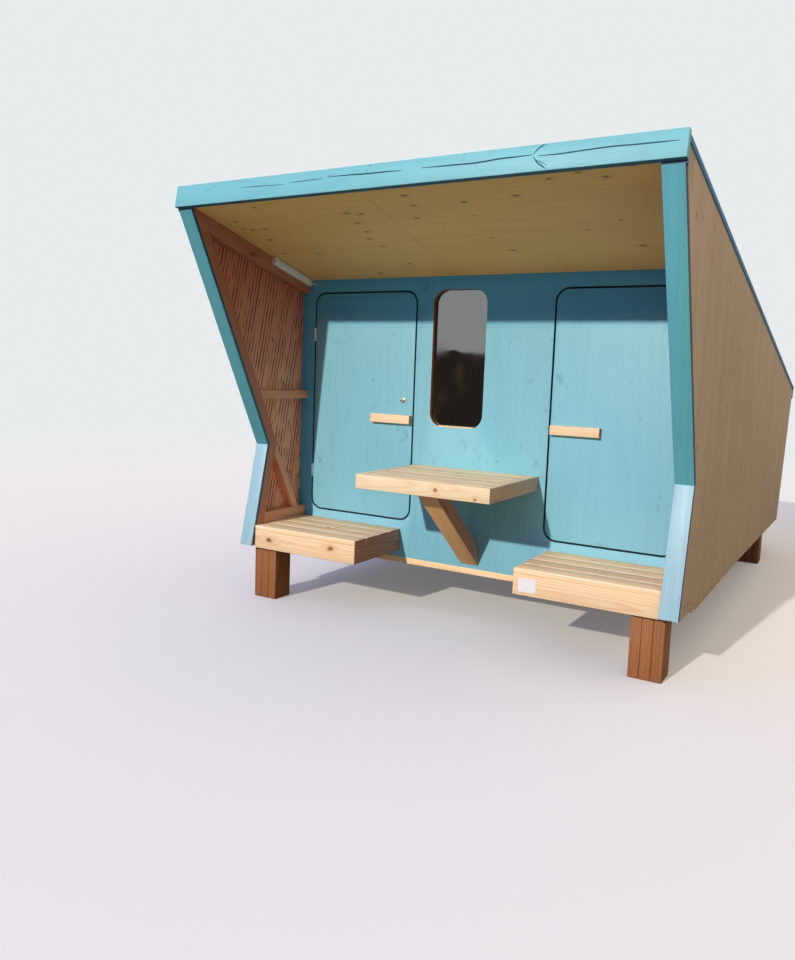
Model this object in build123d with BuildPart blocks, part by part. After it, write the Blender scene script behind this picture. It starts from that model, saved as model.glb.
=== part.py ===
from build123d import *
from math import cos, hypot, radians, sin, tan
import os

# Holiday cabin, millimetres. X runs across the front, Y from front to rear, Z up from the ground.
# In the profiles a depth is counted back from the face of the front wall, and a height from the ground.

# Side walls
cabin_half_width = 1265
skin = 18
batten = 54
knee_reach = 363
knee_height = 913
front_lean = 27.2
foot_reach = 496
foot_height = 315
rear_foot_depth = 3280
rear_foot_height = 250
rear_lean = 19.3

# Roof and porch ceiling
roof_space = 126
roof_pitch = 10.86
deck_board = 18
roof_cover = 10
roof_edge_width = 25
roof_overhang = 5
ceiling_height = 1910
ceiling_pitch = 14.3
ceiling_board = 12
rafter_width = 45
rafter_depth = 95
rafter_bays = 6

# Fascias and the caps on the front edges of the side walls
fascia_reach = 1000
fascia_height = 111
fascia_board = 32
fascia_lip = 12
cap_board = 20
cap_reveal = 3
cap_drop = 10
joint = 0.6

# Floor
floor_underside = 230
joist_height = 153
joist_width = 45
joist_bays = 6
floor_board = 27
sole_height = 35

# Posts, each of three planks
post_planks = 3
plank_width = 51.6
post_depth = 140
post_seam = 0.6
front_post_inset = 32
front_post_reach = 454
rear_post_depth = 2560

# Front wall with two doorways and a window
wall_board = 27
pivot_from_lining = 104
left_door_free = 406
right_door_free = 432
door_low = 490
door_head = 80
door_groove = 10
door_corner = 65
window_left = -296
window_right = 36
window_low = 1060
window_head = 75
window_corner = 80
glass = 5
glass_lap = 25
bead = 18

# Door fittings
stop_width = 45
stop_depth = 45
stop_lap = 15
stop_gap = 5
ledge_board = 20
ledge_height = 90
ledge_inset = 35
ledge_from_end = 180
hinge_stand = 5
knuckle_radius = 4.5
pin_radius = 2.5
pin_clearance = 0.05
hinge_height = 80
hinge_leaf = 2
hinge_leaf_depth = 24
hinge_gap = 0.5
lower_hinge_rise = 240
upper_hinge_drop = 252
pull_length = 270
pull_height = 51
pull_depth = 30
pull_level = 1088
pull_inset = 5
lock_from_pivot = 647
lock_level = 1200
pull_edge = 3
knob_edge = 3
rose_radius = 15
rose_depth = 4
knob_radius = 10
knob_depth = 18

# Framing on the inner face of the side walls, in the porch
top_rail = 78
front_stud = 60
mid_rail_level = 1180
mid_rail = 50
low_rail = 65
brace_width = 45
brace_lean = 29
brace_foot_reach = 100

# Benches and table
bench_inner = 467
bench_reach = 486
bench_top = 435
bench_height = 132
bench_planks = 4
plank = 27
plank_gap = 4
stud_room = 1
rail_room = 4
table_left = -379
table_right = 386
table_reach = 630
table_top = 830
table_height = 76
table_planks = 5
strut_half_width = 55
strut_reach = 466
strut_head = 675
strut_foot = 285
strut_cut = 105

# Studs inside the cabin
stud = 45
stud_bays = 4
rear_stud_depth = 60

# Porch lamp
lamp_length = 375
lamp_height = 45
lamp_depth = 30
lamp_wall_gap = 8


def crossing(p, d, q, e):
    """Where the line through p along d meets the line through q along e."""
    turn = d[0] * e[1] - d[1] * e[0]
    along = ((q[0] - p[0]) * e[1] - (q[1] - p[1]) * e[0]) / turn
    return (p[0] + along * d[0], p[1] + along * d[1])


def moved(p, d, distance):
    """The point p moved a distance along the unit direction d."""
    return (p[0] + d[0] * distance, p[1] + d[1] * distance)


# Sizes that follow from those above
lining_face = cabin_half_width - 2 * skin
batten_face = lining_face - batten
front_post_side = lining_face - front_post_inset
door_pivot = lining_face - pivot_from_lining
door_high = ceiling_height - door_head
window_high = ceiling_height - window_head
roof_height = ceiling_height + roof_space

# Unit directions in the side profile, as (depth, height)
across = (1, 0)
upright = (0, 1)
roof_run = (cos(radians(roof_pitch)), -sin(radians(roof_pitch)))
roof_up = (sin(radians(roof_pitch)), cos(radians(roof_pitch)))
ceiling_run = (cos(radians(ceiling_pitch)), -sin(radians(ceiling_pitch)))
ceiling_up = (sin(radians(ceiling_pitch)), cos(radians(ceiling_pitch)))
front_run = (-sin(radians(front_lean)), cos(radians(front_lean)))
front_in = (cos(radians(front_lean)), sin(radians(front_lean)))
rear_run = (sin(radians(rear_lean)), cos(radians(rear_lean)))
rear_out = (cos(radians(rear_lean)), -sin(radians(rear_lean)))
shin_length = hypot(foot_reach - knee_reach, knee_height - foot_height)
shin_run = ((knee_reach - foot_reach) / shin_length, (foot_height - knee_height) / shin_length)
shin_in = (-shin_run[1], shin_run[0])

# Points of the side profile
knee = (-knee_reach, knee_height)
foot = (-foot_reach, foot_height)
rear_foot = (rear_foot_depth, rear_foot_height)
rear_foot_in = moved(rear_foot, rear_out, -skin)
roof_at_wall = (0, roof_height)
roof_rear = crossing(roof_at_wall, roof_run, rear_foot, rear_run)
roof_rear_in = crossing(roof_at_wall, roof_run, rear_foot_in, rear_run)
roof_front = crossing(roof_at_wall, roof_run, (-fascia_reach, 0), upright)
ceiling_at_wall = (0, ceiling_height)
ceiling_front = crossing(ceiling_at_wall, ceiling_run, roof_front, roof_up)
wall_top = ceiling_height + ceiling_board / cos(radians(ceiling_pitch))
brow = crossing(knee, front_run, roof_front, roof_up)


def mitre(distance):
    """The knee corner of the front edge, moved in from both of its straights."""
    return crossing(moved(knee, front_in, distance), front_run, moved(knee, shin_in, distance), shin_run)


def rear_face(height):
    """Depth of the rear wall's inner face at a height."""
    return crossing(rear_foot_in, rear_run, (0, height), across)[0]


# Fascia outline: its back lies on the ends of the roof boards
roof_layer = deck_board + roof_cover
fascia_top_in = moved(roof_front, roof_up, roof_layer + fascia_lip)
fascia_low_in = moved(fascia_top_in, roof_up, -fascia_height)
fascia_low = moved(fascia_low_in, roof_run, -fascia_board)
fascia_top = moved(fascia_top_in, roof_run, -fascia_board)
roof_crest = moved(roof_at_wall, roof_up, roof_layer + fascia_lip)
rear_fascia_top = crossing(roof_crest, roof_run, rear_foot, rear_run)
rear_fascia_low = moved(rear_fascia_top, rear_run, -fascia_height)
rear_fascia_top_out = moved(rear_fascia_top, rear_out, fascia_board)
rear_fascia_low_out = moved(rear_fascia_low, rear_out, fascia_board)

# The origin lies under the middle of the whole cabin
wall_y = -(fascia_low[0] + rear_fascia_top_out[0]) / 2

deck_top = floor_underside + joist_height + floor_board
joist_top = floor_underside + joist_height
sides = {"left": -1, "right": 1}


def side_plane(x):
    """Profile plane at x: its first axis is depth and its second is height."""
    return Plane(origin=(x, wall_y, 0), x_dir=(0, 1, 0), z_dir=(1, 0, 0))


def front_plane(depth):
    """Front view plane at a depth behind the wall's face: extruding by less than 0 goes to the rear."""
    return Plane(origin=(0, wall_y + depth, 0), x_dir=(1, 0, 0), z_dir=(0, -1, 0))


def level_plane(height):
    """Plan at a height: its first axis is x and its second is depth."""
    return Plane(origin=(0, wall_y, height), x_dir=(1, 0, 0), z_dir=(0, 0, 1))


def save(part, label):
    """Name a finished piece and write it."""
    part.label = label
    export_step(part, f"parts/{label}.step")


def across_slab(points, low, high):
    """A board with the given side profile that runs from x low to x high."""
    with BuildPart() as slab:
        with BuildSketch(side_plane(low)):
            Polygon(*points, align=None)
        extrude(amount=high - low)
    return slab.part


def side_slab(points, side, inner, outer):
    """The same on one side of the cabin, between two distances from its middle."""
    return across_slab(points, min(side * inner, side * outer), max(side * inner, side * outer))


os.makedirs("parts", exist_ok=True)

# Posts
plank_step = plank_width + post_seam
post_width = post_planks * plank_width + (post_planks - 1) * post_seam

with BuildPart() as front_posts:
    for n in range(post_planks):
        with BuildSketch(level_plane(0)):
            with Locations((front_post_side - n * plank_step, -front_post_reach)):
                Rectangle(plank_width, post_depth, align=(Align.MAX, Align.MIN))
        extrude(amount=bench_top - bench_height)
    mirror(about=Plane.YZ)
save(front_posts.part, "front_posts")

with BuildPart() as rear_posts:
    for n in range(post_planks):
        with BuildSketch(level_plane(0)):
            with Locations((lining_face - n * plank_step, rear_post_depth)):
                Rectangle(plank_width, post_depth, align=(Align.MAX, Align.MIN))
        extrude(amount=floor_underside)
    mirror(about=Plane.YZ)
save(rear_posts.part, "rear_posts")

# Floor
bearer_face = lining_face - joist_width
floor_profile = [
    (wall_board, floor_underside),
    (rear_face(floor_underside), floor_underside),
    (rear_face(joist_top), joist_top),
    (wall_board, joist_top),
]

with BuildPart() as side_bearers:
    with BuildSketch(side_plane(bearer_face)):
        Polygon(*floor_profile, align=None)
    extrude(amount=joist_width)
    mirror(about=Plane.YZ)
save(side_bearers.part, "side_bearers")

last_joist = rear_face(floor_underside) - joist_width
joist_step = (last_joist - wall_board) / joist_bays

with BuildPart() as floor_joists:
    for n in range(joist_bays):
        with BuildSketch(side_plane(-bearer_face)):
            with Locations((wall_board + n * joist_step, floor_underside)):
                Rectangle(joist_width, joist_height, align=(Align.MIN, Align.MIN))
        extrude(amount=2 * bearer_face)
    with BuildSketch(side_plane(-bearer_face)):
        Polygon((last_joist, floor_underside), *floor_profile[1:3], (last_joist, joist_top), align=None)
    extrude(amount=2 * bearer_face)
save(floor_joists.part, "floor_joists")

deck_profile = [
    (wall_board, joist_top),
    (rear_face(joist_top), joist_top),
    (rear_face(deck_top), deck_top),
    (wall_board, deck_top),
]
save(across_slab(deck_profile, -lining_face, lining_face), "floor_deck")

sole_top = floor_underside + sole_height
sole_profile = [(0, floor_underside), (wall_board, floor_underside), (wall_board, sole_top), (0, sole_top)]
save(across_slab(sole_profile, -lining_face, lining_face), "sole_strip")

# Side walls: an outer panel and a lining of one outline, bent at the knee
wall_profile = [knee, foot, rear_foot_in, roof_rear_in, roof_front, brow]
cap_low_line = moved(fascia_low, roof_up, -cap_drop)
cap_out = cabin_half_width - cap_reveal
knee_out = mitre(-cap_board)
upper_cap = [
    knee,
    crossing(knee, front_run, cap_low_line, roof_run),
    crossing(moved(knee, front_in, -cap_board), front_run, cap_low_line, roof_run),
    knee_out,
]
lower_cap = [
    moved(knee, shin_run, joint),
    foot,
    crossing(knee_out, shin_run, foot, across),
    moved(knee_out, shin_run, joint),
]

for name, side in sides.items():
    save(side_slab(wall_profile, side, cabin_half_width - skin, cabin_half_width), f"{name}_outer_panel")
    save(side_slab(wall_profile, side, lining_face, cabin_half_width - skin), f"{name}_lining")
    with BuildPart() as caps:
        for board in (upper_cap, lower_cap):
            with BuildSketch(side_plane(side * batten_face)):
                Polygon(*board, align=None)
            extrude(amount=side * (cap_out - batten_face))
    save(caps.part, f"{name}_caps")

# Framing in the porch
rail_low_line = moved(ceiling_at_wall, ceiling_up, -top_rail)
inner_line = moved(knee, front_in, front_stud)
knee_in = mitre(front_stud)
low_rail_top = bench_top + low_rail
rail_profiles = [
    [
        crossing(knee, front_run, ceiling_at_wall, ceiling_run),
        ceiling_at_wall,
        crossing(rail_low_line, ceiling_run, (0, 0), upright),
        crossing(knee, front_run, rail_low_line, ceiling_run),
    ],
    [
        crossing(inner_line, front_run, (0, mid_rail_level), across),
        (0, mid_rail_level),
        (0, mid_rail_level + mid_rail),
        crossing(inner_line, front_run, (0, mid_rail_level + mid_rail), across),
    ],
    [
        crossing(knee_in, shin_run, (0, bench_top), across),
        (0, bench_top),
        (0, low_rail_top),
        crossing(knee_in, shin_run, (0, low_rail_top), across),
    ],
]

with BuildPart() as wing_rails:
    for rail in rail_profiles:
        with BuildSketch(side_plane(batten_face)):
            Polygon(*rail, align=None)
        extrude(amount=batten)
    mirror(about=Plane.YZ)
save(wing_rails.part, "wing_rails")

with BuildPart() as wing_studs:
    with BuildSketch(side_plane(batten_face)):
        Polygon(
            crossing(knee, front_run, rail_low_line, ceiling_run),
            knee,
            foot,
            crossing(knee_in, shin_run, foot, across),
            knee_in,
            crossing(inner_line, front_run, rail_low_line, ceiling_run),
            align=None,
        )
    extrude(amount=batten)
    mirror(about=Plane.YZ)
save(wing_studs.part, "wing_studs")

brace_run = (-sin(radians(brace_lean)), cos(radians(brace_lean)))
brace_side = (cos(radians(brace_lean)), sin(radians(brace_lean)))
brace_foot = (-brace_foot_reach, low_rail_top)
brace_front = moved(brace_foot, brace_side, -brace_width / 2)
brace_rear = moved(brace_foot, brace_side, brace_width / 2)

with BuildPart() as wing_braces:
    with BuildSketch(side_plane(batten_face)):
        Polygon(
            crossing(brace_front, brace_run, brace_foot, across),
            crossing(brace_rear, brace_run, brace_foot, across),
            crossing(brace_rear, brace_run, knee_in, shin_run),
            crossing(brace_front, brace_run, knee_in, shin_run),
            align=None,
        )
    extrude(amount=batten)
    mirror(about=Plane.YZ)
save(wing_braces.part, "wing_braces")

# Front wall: jambs, headers and sills round the doorways, and the middle with its window
half_groove = door_groove / 2
doorway_low = door_low - half_groove
doorway_high = door_high + half_groove
doorway_corner = door_corner + door_groove
doorway_out = door_pivot + half_groove
doorway_in = {"left": left_door_free - half_groove, "right": right_door_free - half_groove}
doorway_width = {name: doorway_out - doorway_in[name] for name in sides}
doorway_middle = {name: sides[name] * (doorway_out + doorway_in[name]) / 2 for name in sides}
doorway_height = doorway_high - doorway_low
doorway_level = (doorway_high + doorway_low) / 2

with BuildPart() as front_wall_jambs:
    with BuildSketch(front_plane(0)):
        with Locations((doorway_out, sole_top)):
            Rectangle(lining_face - doorway_out, wall_top - sole_top, align=(Align.MIN, Align.MIN))
    extrude(amount=-wall_board)
    mirror(about=Plane.YZ)
save(front_wall_jambs.part, "front_wall_jambs")

wall_bands = {
    "front_wall_headers": (doorway_high - doorway_corner, wall_top),
    "front_wall_sills": (sole_top, doorway_low + doorway_corner),
}
for band, (low, high) in wall_bands.items():
    with BuildPart() as front_wall_band:
        for name in sides:
            with BuildSketch(front_plane(0)):
                with Locations((doorway_middle[name], (low + high) / 2)):
                    Rectangle(doorway_width[name], high - low)
                with Locations((doorway_middle[name], doorway_level)):
                    RectangleRounded(
                        doorway_width[name], doorway_height, doorway_corner, mode=Mode.SUBTRACT
                    )
            extrude(amount=-wall_board)
    save(front_wall_band.part, band)

window_width = window_right - window_left
window_height = window_high - window_low
window_middle = ((window_left + window_right) / 2, (window_low + window_high) / 2)
glass_size = (window_width + 2 * glass_lap, window_height + 2 * glass_lap)

with BuildPart() as front_wall_middle:
    with BuildSketch(front_plane(0)):
        with Locations((-doorway_in["left"], sole_top)):
            Rectangle(
                doorway_in["left"] + doorway_in["right"], wall_top - sole_top, align=(Align.MIN, Align.MIN)
            )
        with Locations(window_middle):
            RectangleRounded(window_width, window_height, window_corner, mode=Mode.SUBTRACT)
    extrude(amount=-wall_board)
save(front_wall_middle.part, "front_wall_middle")

with BuildPart() as window_glass:
    with BuildSketch(front_plane(wall_board)):
        with Locations(window_middle):
            RectangleRounded(*glass_size, window_corner + glass_lap)
    extrude(amount=-glass)
save(window_glass.part, "window_glass")

with BuildPart() as window_bead:
    with BuildSketch(front_plane(wall_board + glass)):
        with Locations(window_middle):
            RectangleRounded(*glass_size, window_corner + glass_lap)
            RectangleRounded(window_width, window_height, window_corner, mode=Mode.SUBTRACT)
    extrude(amount=-bead)
save(window_bead.part, "window_bead")

# Doors with two ledges behind each, their pulls, hinges and stops
door_width = {name: doorway_width[name] - 2 * door_groove for name in sides}
door_height = doorway_height - 2 * door_groove
ledge_levels = (door_low + ledge_from_end, door_high - ledge_from_end)
leaf_front = hinge_gap
hinge_levels = (door_low + lower_hinge_rise, door_high - upper_hinge_drop)
knuckle_height = (hinge_height - 2 * hinge_gap) / 3
knuckle_step = knuckle_height + hinge_gap


def hinge_leaf_box(x, level, height, front, rear):
    """A flat of a hinge between two depths, at the given height over the hinge's foot."""
    with BuildPart() as flat:
        with BuildSketch(level_plane(level)):
            with Locations((x, (front + rear) / 2)):
                Rectangle(hinge_leaf, rear - front)
        extrude(amount=height)
    return flat.part


for name, side in sides.items():
    with BuildPart() as door:
        with BuildSketch(front_plane(0)):
            with Locations((doorway_middle[name], doorway_level)):
                RectangleRounded(door_width[name], door_height, door_corner)
        extrude(amount=-wall_board)
        with BuildSketch(front_plane(wall_board)):
            with Locations(*[(doorway_middle[name], level) for level in ledge_levels]):
                Rectangle(door_width[name] - 2 * ledge_inset, ledge_height)
        extrude(amount=-ledge_board)
    save(door.part, f"{name}_door")

    pull_middle = side * (doorway_in[name] + door_groove + pull_inset + pull_length / 2)
    with BuildPart() as pull:
        with BuildSketch(front_plane(0)):
            with Locations((pull_middle, pull_level)):
                Rectangle(pull_length, pull_height)
        extrude(amount=pull_depth)
        chamfer(pull.faces().sort_by(Axis.Y)[0].edges(), length=pull_edge)
    save(pull.part, f"{name}_door_pull")

    leaf_x = side * (door_pivot - half_groove + hinge_leaf / 2)
    with BuildPart() as door_hinges:
        for middle in hinge_levels:
            start = middle - hinge_height / 2
            add(hinge_leaf_box(leaf_x, start, hinge_height, leaf_front, hinge_leaf_depth))
            low = start + knuckle_step
            add(hinge_leaf_box(leaf_x, low, knuckle_height, -hinge_stand, leaf_front))
            with BuildSketch(level_plane(low)):
                with Locations((side * door_pivot, -hinge_stand)):
                    Circle(knuckle_radius)
                    Circle(pin_radius + pin_clearance, mode=Mode.SUBTRACT)
            extrude(amount=knuckle_height)
    save(door_hinges.part, f"{name}_door_hinges")

with BuildPart() as jamb_hinges:
    for middle in hinge_levels:
        start = middle - hinge_height / 2
        leaf_x = doorway_out - hinge_leaf / 2
        add(hinge_leaf_box(leaf_x, start, hinge_height, leaf_front, hinge_leaf_depth))
        for low in (start, start + 2 * knuckle_step):
            add(hinge_leaf_box(leaf_x, low, knuckle_height, -hinge_stand, leaf_front))
            with BuildSketch(level_plane(low)):
                with Locations((door_pivot, -hinge_stand)):
                    Circle(knuckle_radius)
            extrude(amount=knuckle_height)
        with BuildSketch(level_plane(start)):
            with Locations((door_pivot, -hinge_stand)):
                Circle(pin_radius)
        extrude(amount=hinge_height)
    mirror(about=Plane.YZ)
save(jamb_hinges.part, "jamb_hinges")

with BuildPart() as door_lock:
    with BuildSketch(front_plane(0)):
        with Locations((lock_from_pivot - door_pivot, lock_level)):
            Circle(rose_radius)
    extrude(amount=rose_depth)
    with BuildSketch(front_plane(-rose_depth)):
        with Locations((lock_from_pivot - door_pivot, lock_level)):
            Circle(knob_radius)
    extrude(amount=knob_depth)
    fillet(door_lock.faces().sort_by(Axis.Y)[0].edges(), radius=knob_edge)
save(door_lock.part, "door_lock")

stop_face = wall_board + stop_gap
stop_rear = wall_board + stop_depth
lip = door_groove + stop_lap
stile_top = wall_top - stop_width / 2


def stop_section(edge, inward):
    """Rebated section of a stop at a doorway's edge: inward is the way into the doorway."""
    return [
        (edge - inward * stop_width, wall_board),
        (edge, wall_board),
        (edge, stop_face),
        (edge + inward * lip, stop_face),
        (edge + inward * lip, stop_rear),
        (edge - inward * stop_width, stop_rear),
    ]


with BuildPart() as door_stops:
    for name, side in sides.items():
        for edge, inward in ((side * doorway_out, -side), (side * doorway_in[name], side)):
            with BuildSketch(level_plane(deck_top)):
                Polygon(*stop_section(edge, inward), align=None)
            extrude(amount=stile_top - deck_top)
        bar = doorway_width[name] - 2 * (lip + joint)
        for edge, inward in ((doorway_high, -1), (doorway_low, 1)):
            with BuildSketch(side_plane(doorway_middle[name] - bar / 2)):
                Polygon(*[(depth, height) for height, depth in stop_section(edge, inward)], align=None)
            extrude(amount=bar)
save(door_stops.part, "door_stops")

# Benches
bench_low = bench_top - bench_height
apron_top = bench_top - plank
bench_step = (bench_reach + plank_gap) / bench_planks
bench_plank = bench_step - plank_gap
short_end = batten_face - stud_room
ledger_front = crossing(knee_in, shin_run, (0, bench_top), across)[0] + rail_room

with BuildPart() as bench_tops:
    for n in range(bench_planks):
        outer = short_end if n == 0 else lining_face
        with BuildSketch(level_plane(apron_top)):
            with Locations((bench_inner, -bench_reach + n * bench_step)):
                Rectangle(outer - bench_inner, bench_plank, align=(Align.MIN, Align.MIN))
        extrude(amount=plank)
    mirror(about=Plane.YZ)
save(bench_tops.part, "bench_tops")

apron_rear = -bench_reach + plank + joint
bench_boards = [
    (bench_inner, short_end, -bench_reach, -bench_reach + plank),
    (bench_inner, bench_inner + plank, apron_rear, 0),
    (bench_inner + plank + joint, short_end, apron_rear, apron_rear + plank),
    (bench_inner + plank + joint, lining_face, -plank, 0),
    (lining_face - plank, lining_face, ledger_front, -plank - joint),
]
with BuildPart() as bench_frames:
    for inner, outer, front, rear in bench_boards:
        with BuildSketch(level_plane(bench_low)):
            with Locations((inner, front)):
                Rectangle(outer - inner, rear - front, align=(Align.MIN, Align.MIN))
        extrude(amount=apron_top - bench_low)
    mirror(about=Plane.YZ)
save(bench_frames.part, "bench_frames")

# Table: planks inside a frame of boards, on a strut from the wall
table_low = table_top - table_height
table_board_top = table_top - plank
inner_left = table_left + plank
inner_right = table_right - plank
table_front = -table_reach + plank + joint
table_step = (-table_front + plank_gap) / table_planks

with BuildPart() as table_planking:
    for n in range(table_planks):
        with BuildSketch(level_plane(table_board_top)):
            with Locations((inner_left + joint, table_front + n * table_step)):
                Rectangle(
                    inner_right - inner_left - 2 * joint, table_step - plank_gap, align=(Align.MIN, Align.MIN)
                )
        extrude(amount=plank)
save(table_planking.part, "table_planks")

table_boards = [
    (table_left, table_right, -table_reach, -table_reach + plank, table_top),
    (table_left, inner_left, table_front, 0, table_top),
    (inner_right, table_right, table_front, 0, table_top),
    (inner_left + joint, inner_right - joint, -plank, 0, table_board_top),
    (-strut_half_width - plank, -strut_half_width, table_front, -plank - joint, table_board_top),
    (strut_half_width, strut_half_width + plank, table_front, -plank - joint, table_board_top),
]
with BuildPart() as table_frame:
    for left, right, front, rear, top in table_boards:
        with BuildSketch(level_plane(table_low)):
            with Locations((left, front)):
                Rectangle(right - left, rear - front, align=(Align.MIN, Align.MIN))
        extrude(amount=top - table_low)
save(table_frame.part, "table_frame")

strut_rise = strut_head - strut_foot
strut_profile = [
    (-strut_reach, strut_head),
    (0, strut_foot),
    (0, strut_foot + strut_cut),
    (-strut_reach, strut_foot + strut_cut + strut_rise),
]
save(across_slab(strut_profile, -strut_half_width, strut_half_width), "table_strut")

# Roof
ceiling_top_line = (0, wall_top)
ceiling_profile = [
    ceiling_front,
    ceiling_at_wall,
    ceiling_top_line,
    crossing(ceiling_top_line, ceiling_run, roof_front, roof_up),
]
save(across_slab(ceiling_profile, -lining_face, lining_face), "porch_ceiling")

rafter_line = moved(roof_at_wall, roof_up, -rafter_depth)
rafter_profile = [
    crossing(ceiling_top_line, ceiling_run, roof_front, roof_up),
    ceiling_top_line,
    (wall_board, wall_top),
    crossing(rafter_line, roof_run, (wall_board, 0), upright),
    crossing(rafter_line, roof_run, rear_foot_in, rear_run),
    roof_rear_in,
    roof_front,
]
rafter_step = (2 * lining_face - rafter_width) / rafter_bays

with BuildPart() as rafters:
    for n in range(rafter_bays + 1):
        with BuildSketch(side_plane(-lining_face + n * rafter_step)):
            Polygon(*rafter_profile, align=None)
        extrude(amount=rafter_width)
save(rafters.part, "rafters")

roof_edge = cabin_half_width + roof_overhang
roof_side = roof_edge - roof_edge_width


def roof_board(low, high):
    """Side profile of a roof layer between two distances over the side walls."""
    low_line = moved(roof_at_wall, roof_up, low)
    high_line = moved(roof_at_wall, roof_up, high)
    return [
        crossing(low_line, roof_run, roof_front, roof_up),
        crossing(low_line, roof_run, rear_foot, rear_run),
        crossing(high_line, roof_run, rear_foot, rear_run),
        crossing(high_line, roof_run, roof_front, roof_up),
    ]


save(across_slab(roof_board(0, deck_board), -roof_side, roof_side), "roof_deck")
save(across_slab(roof_board(deck_board, roof_layer), -roof_side, roof_side), "roof_cover")

with BuildPart() as roof_edges:
    with BuildSketch(side_plane(roof_side)):
        Polygon(*roof_board(0, roof_layer), align=None)
    extrude(amount=roof_edge_width)
    mirror(about=Plane.YZ)
save(roof_edges.part, "roof_edges")

front_fascia_profile = [fascia_low, fascia_low_in, fascia_top_in, fascia_top]
rear_fascia_profile = [rear_fascia_low, rear_fascia_low_out, rear_fascia_top_out, rear_fascia_top]
save(across_slab(front_fascia_profile, -roof_edge, roof_edge), "front_fascia")
save(across_slab(rear_fascia_profile, -roof_edge, roof_edge), "rear_fascia")

# Rear wall and the studs inside
rear_profile = [rear_foot_in, rear_foot, roof_rear, roof_rear_in]
save(across_slab(rear_profile, -cabin_half_width, cabin_half_width), "rear_wall")

rear_stud_line = moved(rear_foot_in, rear_out, -rear_stud_depth)
stud_step = (rear_face(deck_top) - stop_rear) / stud_bays

with BuildPart() as wall_studs:
    for n in range(1, stud_bays):
        front = stop_rear + n * stud_step
        with BuildSketch(side_plane(lining_face - stud)):
            Polygon(
                (front, deck_top),
                (front + stud, deck_top),
                crossing(rafter_line, roof_run, (front + stud, 0), upright),
                crossing(rafter_line, roof_run, (front, 0), upright),
                align=None,
            )
        extrude(amount=stud)
    mirror(about=Plane.YZ)
    for n in range(1, rafter_bays):
        with BuildSketch(side_plane(-lining_face + n * rafter_step)):
            Polygon(
                crossing(rear_stud_line, rear_run, (0, deck_top), across),
                (rear_face(deck_top), deck_top),
                crossing(rafter_line, roof_run, rear_foot_in, rear_run),
                crossing(rafter_line, roof_run, rear_stud_line, rear_run),
                align=None,
            )
        extrude(amount=stud)
save(wall_studs.part, "wall_studs")

# Lamp on the left top rail
lamp_front = -lamp_wall_gap - lamp_length
slope = tan(radians(ceiling_pitch))
lamp_profile = [
    (lamp_front, ceiling_height - lamp_front * slope),
    (-lamp_wall_gap, ceiling_height + lamp_wall_gap * slope),
    (-lamp_wall_gap, ceiling_height + lamp_wall_gap * slope - lamp_height),
    (lamp_front, ceiling_height - lamp_front * slope - lamp_height),
]
save(across_slab(lamp_profile, -batten_face, -batten_face + lamp_depth), "porch_lamp")

print("wall face at y", round(wall_y, 2), "length", round(rear_fascia_top_out[0] - fascia_low[0], 2))
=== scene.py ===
import bpy
import bmesh
import random
from functools import partial
from math import cos, radians, sin, tan
from mathutils import Matrix, Vector


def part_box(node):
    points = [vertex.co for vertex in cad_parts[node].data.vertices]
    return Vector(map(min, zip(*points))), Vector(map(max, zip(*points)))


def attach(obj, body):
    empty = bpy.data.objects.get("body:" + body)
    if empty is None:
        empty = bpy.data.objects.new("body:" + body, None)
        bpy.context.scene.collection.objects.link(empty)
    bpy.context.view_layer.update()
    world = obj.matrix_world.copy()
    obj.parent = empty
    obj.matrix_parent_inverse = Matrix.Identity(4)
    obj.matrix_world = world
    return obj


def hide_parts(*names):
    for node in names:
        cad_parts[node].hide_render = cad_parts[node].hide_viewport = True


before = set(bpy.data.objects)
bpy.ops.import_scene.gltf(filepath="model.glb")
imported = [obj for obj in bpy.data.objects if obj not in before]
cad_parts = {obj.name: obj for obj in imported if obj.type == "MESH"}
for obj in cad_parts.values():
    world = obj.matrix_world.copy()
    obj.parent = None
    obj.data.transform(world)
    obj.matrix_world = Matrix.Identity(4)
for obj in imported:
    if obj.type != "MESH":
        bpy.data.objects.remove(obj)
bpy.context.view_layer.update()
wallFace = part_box("front_wall_middle")[0].y
print("cabin frame loaded, wall face at", round(wallFace, 4))

# camera, light, sky and floor
view = {"place": (1.9516, -5.4788, 1.3620), "turn": (83.4747, -2.0590, 30.8080), "lens": 30.57, "sensor": 36,
        "shiftY": -0.0150}
daylight = {"place": (0, -6, 5), "travel": (0.142, 1.0, -0.49), "strength": 2.75, "softness": 1.3, "colour": "FFF6EA"}
# the fill is stronger from above and from both sides, blue from the front and warm from the sides
sky = {"front": "508CFF", "side": "FFECD6", "turnsWarm": (-0.6, 0.1), "fill": (0.14, 0.92),
       "sideWay": (0.78, 0.62, 0.0), "sideShare": 0.75, "backdrop": "E8EBEC"}
# what only glass and metal mirror: dry ground and scrub up to a ragged hedge line
farGround = {"scrub": "463C36", "bare": "8C7A62", "bareFrom": (0.5, 0.72), "hedgeTop": (0.034, 0.037),
             "ragged": 0.016, "hedge": {"Scale": 45.0, "Detail": 4.0},
             "clumps": {"Scale": 11.0, "Detail": 7.0, "Roughness": 0.62}}
ground = {"radius": 13.0, "under": -0.0005, "colour": "DFDEDA", "bounce": "898877", "rough": 0.9, "paler": 0.14,
          "fade": (3.5, 12.5)}


def linear(text):
    # sRGB hex to the linear values that nodes take
    parts = [int(text[i:i + 2], 16) / 255 for i in (0, 2, 4)]
    return tuple([p / 12.92 if p <= 0.04045 else ((p + 0.055) / 1.055) ** 2.4 for p in parts] + [1.0])


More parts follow.
